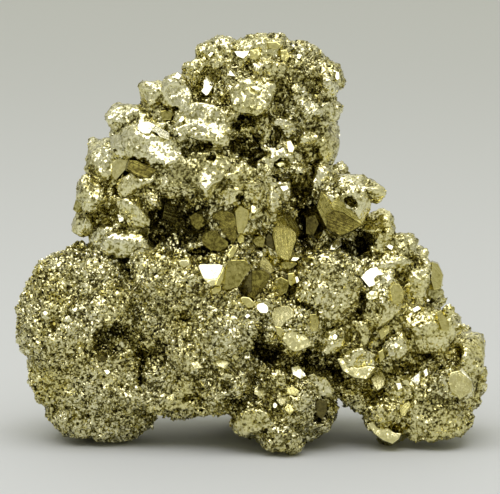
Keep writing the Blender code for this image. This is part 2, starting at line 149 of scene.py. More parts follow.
def roundCube(steps):
    # Directions on a sphere from the six sides of a cube, each a grid of two parameters u and v from -45 to 45
    # degrees with the point (1, tan u, tan v), and the quads between them.
    angle = np.tan(np.linspace(-math.pi / 4, math.pi / 4, steps + 1))
    u, v = np.meshgrid(angle, angle, indexing="ij")
    side = np.stack([np.ones_like(u), u, v], -1).reshape(-1, 3)
    corner = (np.arange(steps)[:, None] * (steps + 1) + np.arange(steps)).ravel()
    quad = np.stack([corner, corner + steps + 1, corner + steps + 2, corner + 1], -1)
    points, quads = [], []
    for turn in range(3):
        for sign in (1, -1):
            quads.append((quad if sign > 0 else quad[:, ::-1]) + len(points) * len(side))
            points.append(np.roll(side * (sign, 1, 1), turn, axis=1))
    points = np.concatenate(points)
    points /= np.linalg.norm(points, axis=1, keepdims=True)
    _, first, index = np.unique(np.round(points, 6), axis=0, return_index=True, return_inverse=True)
    return points[first], index.reshape(-1)[np.concatenate(quads)]


def meshOf(name, points, loops, sizes):
    # points in millimetres of the tables, loops the corners of all faces in a row, sizes the corners of each face
    mesh = bpy.data.meshes.new(name)
    mesh.vertices.add(len(points))
    mesh.vertices.foreach_set("co", ((points - layout["origin"]) * mm).astype(np.float32).ravel())
    mesh.loops.add(len(loops))
    mesh.loops.foreach_set("vertex_index", np.asarray(loops, np.int32))
    mesh.polygons.add(len(sizes))
    starts = np.concatenate([[0], np.cumsum(sizes)[:-1]])
    mesh.polygons.foreach_set("loop_start", starts.astype(np.int32))
    mesh.update(calc_edges=True)
    obj = bpy.data.objects.new(name, mesh)
    bpy.context.scene.collection.objects.link(obj)
    return obj


def quadMesh(name, points, quads):
    return meshOf(name, points, quads.ravel(), np.full(len(quads), 4))


def pointsOf(mesh):
    points = np.empty(len(mesh.vertices) * 3, np.float32)
    mesh.vertices.foreach_get("co", points)
    return points.reshape(-1, 3).astype(float) / mm + layout["origin"]


def paint(obj, name, values):
    layer = obj.data.attributes.new(name, "FLOAT", "POINT")
    layer.data.foreach_set("value", np.asarray(values, np.float32))


# the boulders and the skin that grows over them

skin = {
    "grain": 0.455,         # voxel of the grown skin
    "steps": (18, 5, 10),   # steps across each side of a boulder, of a small lump and of a hollow
    "evening": 2,           # smoothing passes that take off the voxel steps
    "cuts": 14,             # flat faces worn on each boulder
    "cutDepth": (0.72, 0.95),     # how far out they lie, as a share of the boulder's size
    "swell": (1.9, 0.37, 0.05),   # bulges: how fine, how unlike from boulder to boulder, how high as a share of it
    "search": (1.3, 1.5),   # a point is held against boulders whose size, times this and plus this, reaches it
    "snug": (0.2, 0.4, 1.2),      # how much bigger a boulder is than listed, how deep it sits, how much squarer it is
    "snugGroups": ("shoulder", "upper_right", "right_slope", "back"),
    "seamWidth": 0.55,      # half-width of the dark joints between boulders
    "fillWidth": 1.9,       # and of the crust that fills the joints of the sugary lobes
    "blend": 6,             # smoothing passes between neighbouring boulders' ways of growing
    "bareEdge": (0.5, 0.8),       # a worn face begins this far from a joint, and is quite bare this much further in
    "bareSmooth": 0.75,     # share of the relief that a bare face lacks
    "footing": (0.4, 1.5),  # height where the relief begins, and over which it grows to its full lift
}

smallLumps = {
    "cover": 2.0,           # small lumps for each boulder, times its size in millimetres
    "most": 7.0,            # size past which a boulder gets no more of them
    "out": 0.85,            # how far out they sit, as a share of the boulder's size
    "share": (0.14, 0.30),  # their size as a share of the boulder's
    "largest": 5.0,         # boulder size past which they grow no bigger
    "radius": (0.5, 1.15),
    "uneven": (0.75, 1.25),
    "turn": 60.0,
    "square": (2.2, 4.6),
    "top": 59.5,            # none sit higher
}

# The hidden side: boulders along a golden spiral on each core, and a crystal on every third one
backs = {
    "area": 5.0,            # of the core, for each boulder
    "behind": (0.45, 0.6),  # how far round to the back boulders and crystals begin, from 0 at the side to 1 behind
    "lowest": 8.0,
    "top": 58.0,            # no crystal sits higher
    "out": (0.865, 1.12),   # how far out both sit, as a share of the core's size
    "size": (2.4, 4.8),
    "uneven": (0.8, 1.15),
    "square": (3.9, 2.3),   # of each third boulder, and of the others
    "turn": 40.0,
    "half": (1.1, 2.4),     # half-size of a crystal
    "taller": 1.1,
    "yaw": 35.0,
    "tone": (0.3, 0.75),
}

# For each group of boulders: depth of its joints, crust that fills them, share of its flat faces that are worn bare,
# how far out the flat faces lie, its share of small lumps, how rough its skin is, and its share of the grains
growth = {
    "crown": (0.6, 0.1, 0.45, 0.93, 0.5, 0.65, 0.35),
    "shoulder": (0.8, 0.0, 0.75, 0.86, 0.2, 0.5, 0.12),
    "upper_right": (0.7, 0.0, 0.55, 0.9, 0.4, 0.6, 0.25),
    "right_slope": (0.7, 0.0, 0.55, 0.9, 0.4, 0.55, 0.22),
    "golden": (0.6, 0.0, 0.05, 1.25, 0.9, 0.7, 0.6),
    "right_foot": (0.5, 0.2, 0.2, 1.08, 0.7, 0.7, 0.6),
    "front_foot": (0.4, 0.2, 0.2, 1.0, 0.8, 0.7, 0.65),
    "middle": (0.05, 0.75, 0.05, 1.08, 1.0, 1.0, 1.0),
    "left_lobe": (0.05, 0.75, 0.03, 1.08, 1.0, 1.0, 1.0),
    "back": (1.0, 0.1, 0.3, 0.96, 0.5, 0.9, 0.5),
}

# The solid bodies that everything grows on: x, y, z, then the three radii
cores = {
    "left_lobe": (-24.0, 2.0, 15.2, 10.2, 12.0, 14.2),
    "middle": (-5.4, 1.0, 17.4, 15.0, 13.0, 12.6),
    "front_foot": (5.0, -4.6, 6.6, 7.8, 8.6, 6.5),
    "back_foot": (3.0, 9.5, 6.6, 8.5, 7.5, 6.7),
    "upper": (-5.4, 2.4, 40.6, 15.2, 11.0, 14.6),
    "crown": (2.3, 2.0, 53.8, 11.0, 8.5, 7.2),
    "heart": (3.8, 4.5, 29.6, 15.0, 8.5, 13.0),
    "neck": (8.6, 3.5, 45.0, 3.4, 6.5, 7.0),
    "saddle": (-16.0, 3.5, 27.0, 7.5, 8.0, 6.5),
    "right": (18.4, 2.0, 18.0, 11.7, 11.0, 12.0),
    "right_low": (26.8, -1.0, 9.2, 9.3, 9.0, 7.0),
}

# The group that each core grows like, how strongly its skin is broken into blocks, and its squareness
coreGrowth = {
    "left_lobe": ("left_lobe", 0.12, 2.0), "middle": ("middle", 0.2, 2.0), "front_foot": ("front_foot", 0.5, 2.0),
    "back_foot": ("back", 0.8, 2.0), "upper": ("shoulder", 1.0, 2.5), "crown": ("crown", 0.8, 2.0),
    "heart": ("upper_right", 0.9, 2.5), "neck": ("upper_right", 0.9, 2.0), "saddle": ("shoulder", 0.6, 2.0),
    "right": ("right_slope", 1.0, 2.0), "right_low": ("right_foot", 0.8, 2.0),
}
coreStyle = {"cut": 1.35, "rough": 0.9, "bare": 0.6}   # reach of flat faces, roughness, grains that blocks lack

# Boulders: x, y, z, three radii, squareness (2 is round, 5 is a worn block), roll in degrees
boulders = {
    "crown": [
        (-4.3, -1.0, 59.6, 3.9, 4.2, 2.8, 2.2, 10),
        (1.6, -1.0, 60.0, 4.6, 5.0, 2.9, 2.4, -6),
        (7.0, 0.0, 57.3, 4.3, 4.8, 2.8, 2.3, 24),
        (11.3, 0.0, 55.0, 3.2, 4.8, 4.1, 2.3, -16),
        (11.4, -1.0, 50.4, 2.5, 3.6, 2.7, 2.5, 0),
        (2.3, -4.5, 57.3, 3.4, 3.0, 2.0, 3.0, -8),
        (-7.8, -1.5, 57.1, 2.9, 3.4, 2.3, 2.6, -30),
        (9.2, -3.5, 51.2, 2.8, 3.0, 2.2, 2.8, 10),
        (6.1, -2.6, 54.5, 3.0, 3.0, 1.9, 2.4, 0),
    ],
    "shoulder": [
        (-10.9, -6.0, 54.5, 2.3, 2.6, 2.1, 2.3, 0),
        (-14.2, -0.5, 52.9, 3.3, 4.4, 2.6, 2.4, 35),
        (-18.2, -0.5, 49.4, 3.4, 4.4, 3.3, 2.6, 30),
        (-15.3, -4.0, 46.2, 5.0, 4.8, 3.9, 3.8, -14),
        (-21.9, 0.0, 43.6, 2.7, 4.6, 3.9, 2.4, 10),
        (-7.3, -5.8, 50.1, 4.5, 3.8, 3.5, 2.8, 6),
        (0.1, -6.4, 53.6, 3.5, 3.2, 3.2, 3.6, -28),
        (-6.4, -6.0, 42.4, 5.5, 5.2, 3.9, 4.0, 14),
        (-16.5, -5.0, 40.9, 3.1, 3.0, 2.4, 2.8, -20),
        (-22.6, 0.0, 38.6, 3.3, 5.0, 3.6, 2.6, 0),
        (-24.7, -0.6, 34.2, 2.6, 4.2, 2.8, 2.6, -20),
        (-21.6, 0.0, 32.7, 3.4, 5.0, 3.7, 2.4, 0),
        (-17.6, -4.4, 36.6, 3.2, 3.6, 2.7, 2.6, 0),
        (-17.6, -4.2, 30.8, 4.3, 4.2, 3.0, 2.4, 10),
    ],
    "upper_right": [
        (3.4, -5.0, 44.8, 3.1, 3.1, 2.5, 3.8, -16),
        (4.6, -4.0, 48.9, 4.0, 3.0, 2.0, 2.4, 0),
        (8.7, -4.6, 47.3, 1.9, 2.2, 1.9, 2.2, 0),
        (11.5, 0.0, 45.4, 2.1, 4.4, 3.9, 2.6, 0),
        (1.2, -4.6, 40.6, 3.0, 2.8, 1.9, 2.6, 0),
        (4.1, -6.0, 38.9, 2.5, 2.9, 2.4, 3.4, 10),
        (-3.8, -7.0, 38.0, 3.5, 2.8, 2.0, 2.4, 0),
        (-0.8, -3.2, 48.5, 1.9, 2.2, 1.4, 2.2, 0),
        (10.6, -1.2, 41.0, 1.8, 3.2, 2.4, 2.4, 0),
    ],
    "right_slope": [
        (15.4, -5.0, 39.1, 4.7, 4.2, 2.8, 2.6, -2),
        (18.3, -3.8, 39.0, 1.9, 3.0, 2.1, 2.4, 0),
        (14.5, -6.0, 35.9, 4.0, 3.9, 3.3, 4.0, -24),
        (19.6, -2.2, 32.9, 2.6, 4.2, 2.7, 2.6, 30),
        (22.6, -1.5, 30.1, 2.2, 3.6, 2.5, 3.0, 34),
        (25.4, -1.8, 25.0, 3.0, 4.8, 4.3, 2.8, 24),
        (20.7, -4.8, 28.3, 4.0, 3.4, 2.3, 2.4, -14),
        (20.2, -6.6, 22.8, 3.5, 4.0, 3.8, 2.4, 0),
        (26.6, -6.8, 18.6, 4.3, 4.7, 4.3, 2.8, 0),
        (29.3, -2.8, 18.0, 2.5, 4.6, 3.2, 3.2, 34),
        (33.3, -1.8, 13.9, 3.0, 4.8, 3.3, 2.4, 0),
        (33.9, -2.6, 9.2, 2.5, 4.6, 3.0, 2.4, 0),
        (17.3, -9.0, 18.3, 1.9, 2.0, 1.9, 2.4, 0),
        (16.4, -8.4, 14.0, 3.4, 3.4, 2.9, 3.6, -28),
        (22.2, -8.2, 16.4, 2.3, 2.6, 2.5, 2.3, 0),
        (13.0, -7.8, 16.8, 3.4, 3.4, 2.4, 2.4, 0),
        (10.7, -8.8, 11.4, 2.5, 3.0, 2.6, 2.4, -30),
    ],
    "golden": [
        (11.9, -7.2, 25.0, 5.2, 5.4, 5.8, 2.3, 0),
    ],
    "right_foot": [
        (29.0, -7.0, 9.8, 4.6, 4.0, 2.4, 2.4, 6),
        (27.5, -5.0, 5.0, 6.6, 6.2, 3.9, 2.5, 0),
        (20.7, -6.6, 5.6, 3.4, 4.4, 2.7, 2.5, -20),
        (16.0, -5.6, 7.4, 3.7, 3.4, 1.7, 2.4, 38),
        (21.6, -3.6, 2.2, 2.8, 3.0, 2.4, 3.4, -14),
    ],
    "front_foot": [
        (3.4, -12.0, 11.6, 2.1, 2.2, 2.1, 2.3, 0),
        (-2.8, -10.8, 11.2, 3.1, 3.3, 2.8, 2.4, 0),
        (6.1, -10.6, 8.6, 3.9, 4.2, 2.9, 2.4, 0),
        (0.8, -10.2, 5.6, 4.3, 4.2, 2.9, 2.5, -10),
        (5.0, -11.6, 2.6, 3.5, 3.4, 2.9, 2.3, 8),
        (10.4, -7.6, 4.6, 2.5, 3.4, 2.8, 2.4, -16),
    ],
    "middle": [
        (6.4, -8.6, 18.6, 3.2, 3.2, 3.8, 3.6, 35),
        (-3.8, -9.6, 18.4, 4.7, 4.4, 3.5, 2.3, 0),
        (-9.2, -7.8, 24.5, 6.2, 5.2, 4.1, 2.3, -8),
        (-10.7, -5.6, 9.3, 5.4, 5.4, 4.8, 2.4, 0),
        (-9.2, -8.6, 15.4, 3.9, 4.2, 3.1, 2.3, 0),
        (-5.4, -9.2, 9.0, 3.0, 3.2, 2.9, 2.4, 0),
        (-13.2, -6.4, 27.2, 4.6, 4.4, 3.3, 2.4, 10),
        (-2.3, -6.6, 28.6, 3.8, 3.6, 3.1, 2.6, 0),
        (1.8, -8.2, 22.9, 3.1, 3.2, 2.2, 2.4, 0),
        (-14.6, -5.0, 20.2, 3.0, 4.0, 4.2, 2.3, 20),
    ],
    "left_lobe": [
        (-28.6, -2.0, 24.0, 4.7, 6.2, 4.6, 2.3, -35),
        (-31.7, 0.0, 18.6, 4.0, 6.4, 5.4, 2.3, 4),
        (-29.3, 0.0, 10.8, 3.8, 6.4, 4.8, 2.3, 12),
        (-25.2, -1.0, 5.4, 4.6, 6.6, 4.5, 2.3, 25),
        (-20.2, -0.6, 4.4, 5.1, 7.0, 4.7, 2.3, -20),
        (-24.0, -2.0, 25.6, 4.8, 6.4, 4.1, 2.3, 10),
        (-27.6, -4.8, 17.7, 5.6, 5.2, 5.7, 2.2, 0),
        (-18.4, -5.2, 9.2, 3.5, 4.2, 3.9, 2.3, 0),
        (-23.6, -5.4, 9.4, 4.3, 4.2, 4.2, 2.3, 0),
        (-20.9, -5.6, 22.5, 4.7, 4.4, 2.7, 2.3, -10),
    ],
}


def cutPlanes(count, salt):
    # Flat faces for each boulder: random directions, each with the share of the boulder's size at which it cuts.
    normals = np.random.default_rng(salt).normal(size=(count, skin["cuts"], 3))
    normals /= np.linalg.norm(normals, axis=2, keepdims=True)
    return normals, np.random.default_rng(salt + 100).uniform(*skin["cutDepth"], (count, skin["cuts"]))


def boulderPoints(directions, rows, planes, salt):
    # Radius 1 / (|x|^n + |y|^n + |z|^n)^(1/n) along each direction, no further than d / (normal . direction) for any
    # flat face, swollen by noise, stretched, turned and placed.
    normals, depths = planes
    fine, unlike, high = skin["swell"]
    power = rows[:, 6, None]
    reach = (np.abs(directions)[None] ** power[..., None]).sum(-1) ** (-1 / power)
    facing = np.maximum(np.einsum("kcj,vj->kcv", normals, directions), 1e-3)
    reach = np.minimum(reach, (depths[..., None] * rows[:, 10, None, None] / facing).min(1))
    swell = smoothNoise(directions[None] * fine + rows[:, None, :3] * unlike, 1.0, salt)
    local = directions[None] * (reach * (1 + high * swell))[..., None] * rows[:, None, 3:6]
    frames = turns(rows[:, 8], rows[:, 7], rows[:, 9])
    return np.einsum("kij,kvj->kvi", frames, local) + rows[:, None, :3]


def boulderGauge(points, row, normals, depths):
    # The same form read the other way: 1 on the boulder's face, more outside it, and the flat face there or -1.
    frame = turns(row[8], row[7], row[9])[0]
    local = (points - row[:3]) @ frame / row[3:6]
    curved = (np.abs(local) ** row[6]).sum(1) ** (1 / row[6])
    flat = local @ normals.T / (depths * row[10])
    return np.maximum(curved, flat.max(1)), np.where(flat.max(1) > curved, flat.argmax(1), -1)


def nearestBoulders(points, rows, planes):
    # For each point: its boulder, which flat face of it lies there (-1 on the round part), and how much further off
    # the second nearest boulder is, in millimetres: 0 at a joint.
    near = np.full(len(points), far)
    second = near.copy()
    owner = np.zeros(len(points), int)
    face = np.full(len(points), -1)
    wider, further = skin["search"]
    for i, (row, normals, depths) in enumerate(zip(rows, *planes)):
        close = np.nonzero(np.linalg.norm(points - row[:3], axis=1) < row[3:6].max() * wider + further)[0]
        gauge, side = boulderGauge(points[close], row, normals, depths)
        off = (gauge - 1) * row[3:6].mean()
        second[close] = np.where(off < near[close], near[close], np.minimum(second[close], off))
        nearer = close[off < near[close]]
        owner[nearer] = i
        face[nearer] = side[off < near[close]]
        near[close] = np.minimum(near[close], off)
    return owner, face, second - near


def backGrowths():
    # Place i of n on a core: height 1 - 2 (i + 1/2) / n, turned i times by the golden angle.
    throw = np.random.default_rng(layout["seed"])
    grown, sitting = [], []
    golden = math.pi * (3 - math.sqrt(5))
    for x, y, z, rx, ry, rz in cores.values():
        count = round((rx * ry * rz) ** (2 / 3) / backs["area"])
        for i in range(count):
            height = 1 - 2 * (i + 0.5) / count
            level = math.sqrt(1 - height * height)
            away = np.array((level * math.cos(golden * i), level * math.sin(golden * i), height))
            size = throw.uniform(*backs["size"]) * throw.uniform(*backs["uneven"], 3)
            turn = throw.uniform(-backs["turn"], backs["turn"], 3)
            habit = ("cube", "pyritohedron")[int(throw.integers(2))]
            half = throw.uniform(*backs["half"])
            yaw, tilt = throw.uniform(-backs["yaw"], backs["yaw"], 2)
            reach = away * (rx, ry, rz)
            if away[1] < backs["behind"][0] or z + reach[2] < backs["lowest"]:
                continue
            grown.append((*(reach * backs["out"][0] + (x, y, z)), *size, backs["square"][i % 3 > 0], *turn))
            if i % 3 or away[1] < backs["behind"][1] or z + reach[2] > backs["top"]:
                continue
            yaw += 180 - math.degrees(math.atan2(away[0], away[1]))
            place = reach * backs["out"][1] + (x, y, z)
            tone = throw.uniform(*backs["tone"])
            sitting.append((habit, *place, half, half, half * backs["taller"], yaw, tilt, turn[0], tone))
    return grown, sitting


def boulderTable(backLumps):
    # Rows of x, y, z, three radii, squareness, roll about Y, the turns about X and Z, how far out flat faces lie,
    # joint depth, filling crust, share of bare faces, share of small lumps, roughness, strength of the blocks and
    # share of grains.
    rows = []
    bigger, deeper, squarer = skin["snug"]
    for name, group in {**boulders, "back": backLumps}.items():
        joint, fill, bare, cut, children, rough, grains = growth[name]
        group = np.array([(*row, 0, 0)[:10] for row in group], float)
        if name in skin["snugGroups"]:
            middles = np.array(list(cores.values()))[:, :3]
            inward = middles[((group[:, None, :3] - middles) ** 2).sum(2).argmin(1)] - group[:, :3]
            group[:, :3] += unitRows(inward) * group[:, 3:6].mean(1, keepdims=True) * bigger * deeper
            group[:, 3:6] *= 1 + bigger
            group[:, 6] *= squarer
        rows += [(*row, cut, joint, fill, bare, children, rough, 0, grains) for row in group]
    for name, row in cores.items():
        kind, blocky, square = coreGrowth[name]
        joint, fill = growth[kind][:2]
        cut, rough = coreStyle["cut"], coreStyle["rough"]
        rows.append((*row, square, 0, 0, 0, cut, joint, fill, 0, 1.0, rough, blocky, 1 - coreStyle["bare"] * blocky))
    return np.array(rows, float)


def childTable(parents):
    # Small lumps on the skin of each boulder: a random direction on it, half sunk, smaller and squarer at random.
    throw = np.random.default_rng(layout["seed"] + 1)
    size = np.cbrt(parents[:, 3:6].prod(1))
    cover = smallLumps["cover"] * np.minimum(size, smallLumps["most"])
    own = np.repeat(np.arange(len(parents)), np.round(cover * parents[:, 14]).astype(int))
    away = unitRows(throw.normal(size=(len(own), 3)))
    parent = parents[own]
    frames = turns(parent[:, 8], parent[:, 7], parent[:, 9])
    reach = (np.abs(away) ** parent[:, 6:7]).sum(1) ** (-1 / parent[:, 6])
    local = away * reach[:, None] * parent[:, 3:6] * smallLumps["out"]
    places = np.einsum("kij,kj->ki", frames, local) + parent[:, :3]
    share = throw.uniform(*smallLumps["share"], len(own))
    radius = np.clip(np.minimum(size[own], smallLumps["largest"]) * share, *smallLumps["radius"])
    radii = radius[:, None] * throw.uniform(*smallLumps["uneven"], (len(own), 3))
    spin = throw.uniform(-smallLumps["turn"], smallLumps["turn"], (len(own), 3))
    square = throw.uniform(*smallLumps["square"], (len(own), 1))
    rows = np.concatenate([places, radii, square, spin, np.ones((len(own), 1))], 1)
    return rows[places[:, 2] < smallLumps["top"]]


def lumpMesh(rows, salt, steps, noiseSalt):
    # Every row as a round cube of its own, with its own flat faces.
    directions, quads = roundCube(steps)
    points = boulderPoints(directions, rows, cutPlanes(len(rows), salt), noiseSalt)
    faces = quads[None] + (np.arange(len(rows)) * len(directions))[:, None, None]
    return points.reshape(-1, 3), faces.reshape(-1, 4)


# Hollows cut into the mass along the line of sight: x, y, z, three radii, squareness, roll in degrees
hollows = [
    (-10.6, -9.0, 34.9, 4.7, 11.0, 3.9, 4.2, 0),    # the wide one under the big block
    (7.4, -8.0, 40.2, 1.5, 9.5, 3.2, 2.6, 0),      # the tall one beside the yellow crystal, its top
    (9.3, -8.5, 35.2, 2.0, 10.0, 4.2, 2.6, 14),    # and its foot
    (16.4, -9.0, 32.0, 2.5, 7.5, 1.6, 2.6, -14),   # under the right boulder
    (15.0, -9.6, 37.9, 1.7, 3.6, 0.6, 2.4, 36),    # the slot across it
    (2.9, -13.0, 15.8, 3.5, 9.0, 2.0, 2.6, 34),    # above the front foot
    (9.9, -10.0, 13.4, 3.3, 7.0, 1.4, 2.6, 14),    # the slot that runs down from it
    (13.0, -11.0, 11.6, 1.2, 6.0, 2.7, 2.4, -24),
    (23.8, -12.0, 13.2, 2.4, 8.5, 1.1, 2.8, -10),  # the slit across the right mass
    (28.3, -9.5, 14.4, 3.8, 6.0, 0.6, 2.6, 4),
    (31.2, -6.5, 15.0, 0.9, 4.0, 1.6, 2.4, -30),
    (-19.8, -10.4, 17.6, 3.7, 3.2, 3.1, 2.6, -15),  # the crater of the left lobe
    (-22.7, -9.6, 17.2, 1.0, 4.0, 1.9, 2.6, 10),   # and the deeper places in it
    (-20.0, -9.8, 18.4, 2.6, 5.0, 1.0, 2.6, 6),
    (-20.4, -9.8, 15.9, 1.5, 4.6, 1.0, 2.4, -20),
    (-17.9, -9.4, 16.9, 0.9, 4.2, 1.6, 2.6, -10),
    (-13.6, -10.8, 15.4, 2.2, 4.6, 2.5, 2.4, 10),
    (-16.5, -7.4, 13.2, 0.6, 3.8, 5.0, 2.4, 2),    # the seam beside the lobe
    (10.8, -13.0, 6.0, 1.0, 6.0, 1.5, 3.6, 4),     # the small dark hole in the foot
    (-15.9, -7.5, 50.9, 1.6, 3.4, 1.2, 2.4, 0),
    (-7.3, -8.6, 46.6, 3.4, 3.2, 0.6, 2.6, -2),    # the gap over the big block
    (-7.0, -9.9, 50.0, 4.2, 2.8, 0.5, 2.6, 5),    # the crack in the one above it
    (-1.1, -6.6, 49.5, 2.0, 4.4, 0.8, 2.4, -4),
    (-1.5, -6.0, 45.7, 1.7, 5.0, 2.0, 2.6, 6),
    (0.6, -7.1, 44.4, 0.8, 4.5, 2.0, 2.6, 4),
    (-4.3, -7.1, 53.4, 1.3, 2.6, 0.6, 2.4, 8),
    (-0.6, -6.1, 58.1, 1.1, 2.4, 0.9, 2.4, 40),    # a dark joint runs down across the crown
    (1.8, -7.1, 55.7, 2.4, 2.4, 0.55, 2.4, 38),
    (4.4, -6.0, 53.1, 1.5, 2.6, 0.6, 2.4, 50),
    (7.7, -5.4, 55.9, 1.3, 3.2, 0.85, 2.4, 0),
    (9.6, -4.6, 55.0, 1.2, 3.8, 1.5, 2.6, 0),
    (2.7, -5.6, 50.7, 1.0, 2.6, 0.8, 2.4, 0),
    (9.6, -6.1, 49.9, 0.6, 3.0, 1.4, 2.4, 0),
    (7.8, -6.2, 49.0, 1.5, 2.6, 0.5, 2.4, 0),
    (10.9, -4.2, 47.7, 0.45, 2.4, 2.6, 2.4, 0),
    (0.9, -6.0, 47.4, 1.1, 2.4, 0.5, 2.4, 0),
    (4.5, -6.8, 41.6, 1.8, 2.8, 0.6, 2.4, 4),
    (16.6, -8.8, 22.7, 0.55, 3.6, 2.7, 2.6, 0),    # joints of the right mass
    (19.2, -10.3, 21.9, 1.2, 2.6, 0.6, 2.4, 0),
    (20.3, -10.2, 16.9, 1.0, 3.0, 0.7, 2.4, 0),
    (14.9, -10.2, 18.0, 0.55, 2.6, 1.7, 2.4, 0),
    (18.6, -10.2, 17.7, 0.6, 2.4, 1.2, 2.4, 10),
    (23.9, -9.6, 17.6, 0.5, 3.0, 2.2, 2.4, 12),
    (16.5, -11.1, 11.5, 3.0, 2.2, 0.45, 2.4, 8),
    (18.8, -11.2, 13.9, 0.5, 2.4, 2.1, 2.4, 4),
    (20.5, -11.0, 10.9, 0.45, 2.2, 2.0, 2.4, 0),
    (22.3, -10.7, 6.0, 0.7, 2.6, 0.7, 2.4, 0),
    (16.5, -8.9, 7.1, 1.7, 2.2, 0.5, 2.4, 24),
    (7.2, -12.9, 11.1, 1.5, 3.0, 0.7, 2.4, 6),     # pits of the front foot and the middle
    (-3.4, -13.9, 18.6, 0.6, 2.6, 0.55, 2.4, 0),
    (-3.6, -13.7, 10.9, 1.1, 2.8, 0.9, 2.4, 0),
    (1.2, -12.6, 24.1, 0.8, 3.0, 0.85, 2.4, 0),
    (7.5, -10.4, 22.4, 1.4, 3.4, 0.8, 2.4, 40),
    (3.6, -9.0, 28.9, 0.8, 6.5, 2.0, 2.4, -20),
    (-5.4, -11.1, 29.9, 1.9, 3.0, 0.8, 2.4, 0),
    (-8.7, -10.9, 8.3, 2.1, 3.0, 1.4, 2.4, 0),
    (-29.0, -8.4, 13.4, 0.8, 2.0, 0.55, 2.4, 0),
    (-25.0, -9.7, 13.3, 0.9, 2.0, 0.5, 2.4, 0),
    (-9.6, -11.0, 21.0, 0.8, 2.6, 0.6, 2.4, 30),
    (-5.6, -10.6, 40.4, 0.9, 2.4, 0.45, 2.6, 30),
    (-4.5, -10.6, 39.7, 0.8, 2.4, 0.6, 2.6, -20),
    (-1.6, -9.0, 38.7, 0.8, 2.6, 0.7, 2.4, 30),
    (-21.6, -5.5, 43.4, 0.6, 1.8, 0.5, 2.4, 0),
]

hollowShare = (0.95, 0.85, 0.95)   # share of the listed radii to which they are cut


def hollowTable():
    # The hollows as rows of a boulder table, tipped along the line of sight.
    rows = np.array([(*row, -view["pitch"], 0, 2.0) for row in hollows], float)
    rows[:, 3:6] *= hollowShare
    return rows


def joinSkin(obj, name):
    # One even skin of small quads round everything in the mesh.
    remesh = obj.modifiers.new(name, "REMESH")
    remesh.mode = "VOXEL"
    remesh.voxel_size = skin["grain"] * mm


def growSkin(rows):
    # The boulders and their small lumps become one skin, the hollows are cut out of it, and it is evened once more.
    big = lumpMesh(rows, boulderSalt, skin["steps"][0], 3)
    small = lumpMesh(childTable(rows), 22, skin["steps"][1], 5)
    points = np.concatenate([big[0], small[0]])
    quads = np.concatenate([big[1], small[1] + len(big[0])])
    obj = quadMesh("pyrite_skin", points, quads)
    cutter = quadMesh("hollows", *lumpMesh(hollowTable(), 23, skin["steps"][2], 7))
    joinSkin(cutter, "joined")
    joinSkin(obj, "grown together")
    carve = obj.modifiers.new("hollowed", "BOOLEAN")
    carve.solver = "MANIFOLD"
    carve.operation = "DIFFERENCE"
    carve.object = cutter
    joinSkin(obj, "evened")
    mesh = bpy.data.meshes.new_from_object(obj.evaluated_get(bpy.context.evaluated_depsgraph_get()))
    bpy.data.objects.remove(cutter)
    bpy.data.objects.remove(obj)
    quads = np.empty(len(mesh.loops), np.int32)
    mesh.loops.foreach_get("vertex_index", quads)
    return pointsOf(mesh), quads.reshape(-1, 4)


def largestShell(points, quads):
    # Every point takes the lowest number among its neighbours until nothing changes: one number for each shell.
    ends = np.concatenate([quads[:, [0, 1]], quads[:, [1, 2]], quads[:, [2, 3]], quads[:, [3, 0]]])
    label = np.arange(len(points))
    while True:
        low = label[ends].min(1)
        new = label.copy()
        np.minimum.at(new, ends[:, 0], low)
        np.minimum.at(new, ends[:, 1], low)
        new = new[new]
        if (new == label).all():
            break
        label = new
    kept = label == np.bincount(label).argmax()
    index = np.cumsum(kept) - 1
    return points[kept], index[quads[kept[quads[:, 0]]]]


def smoothed(points, quads, passes):
    # Each pass moves every point half way to the mean of its neighbours.
    ends = np.concatenate([quads, np.roll(quads, 1, axis=1)], 0).reshape(-1)
    others = np.concatenate([np.roll(quads, -1, axis=1), quads], 0).reshape(-1)
    count = np.bincount(ends, minlength=len(points))[:, None]
    for _ in range(passes):
        sums = [np.bincount(ends, column[others], len(points)) for column in points.T]
        points = (points + np.stack(sums, 1) / count) / 2
    return points


def normalsOf(points, quads):
    # The mean of the faces' normals round each point, each face counted by its area.
    face = np.cross(points[quads[:, 2]] - points[quads[:, 0]], points[quads[:, 3]] - points[quads[:, 1]])
    total = np.zeros_like(points)
    for axis in range(3):
        total[:, axis] = np.bincount(quads.ravel(), np.repeat(face[:, axis], 4), len(points))
    return total / np.maximum(np.linalg.norm(total, axis=1, keepdims=True), 1e-9)


# crystals

# Whole crystals: habit, x, y, z, half-sizes across, deep and tall, then yaw, tilt and roll in degrees, tone
crystals = [
    ("pyritohedron", -25.4, -0.8, 36.8, 1.7, 2.2, 2.0, -30, 0, 20, 0.5),
    ("pyritohedron", 27.0, -3.0, 24.2, 2.0, 2.8, 2.7, 30, 4, 20, 0.5),
    ("cube", -12.6, 0.4, 35.0, 1.3, 1.6, 1.5, 30, 20, 20, 0.3),
    ("pyritohedron", 9.8, -2.6, 33.8, 2.2, 2.2, 2.6, -20, 0, 0, 0.2),
]

crystalStyle = {
    "uneven": 0.22,         # how unlike a perfect form each crystal is
    "corners": 3,           # corners cut off, and how far out
    "cornerCut": (0.72, 0.95),
    "softCut": 0.98,        # the same for forms other than cubes
    "under": (0.96, 0.86, 0.05),  # skin inside this share of a crystal's size sinks to that share; least share read
    "search": (1.15, 1.3),
    "stripes": 40.0,        # how far apart the growth lines of different crystals begin
    "gold": (0.1, 0.6),
    "lines": (0.0, 0.2, 0.8),     # strengths that the growth lines may have
    "edge": 0.09,
}


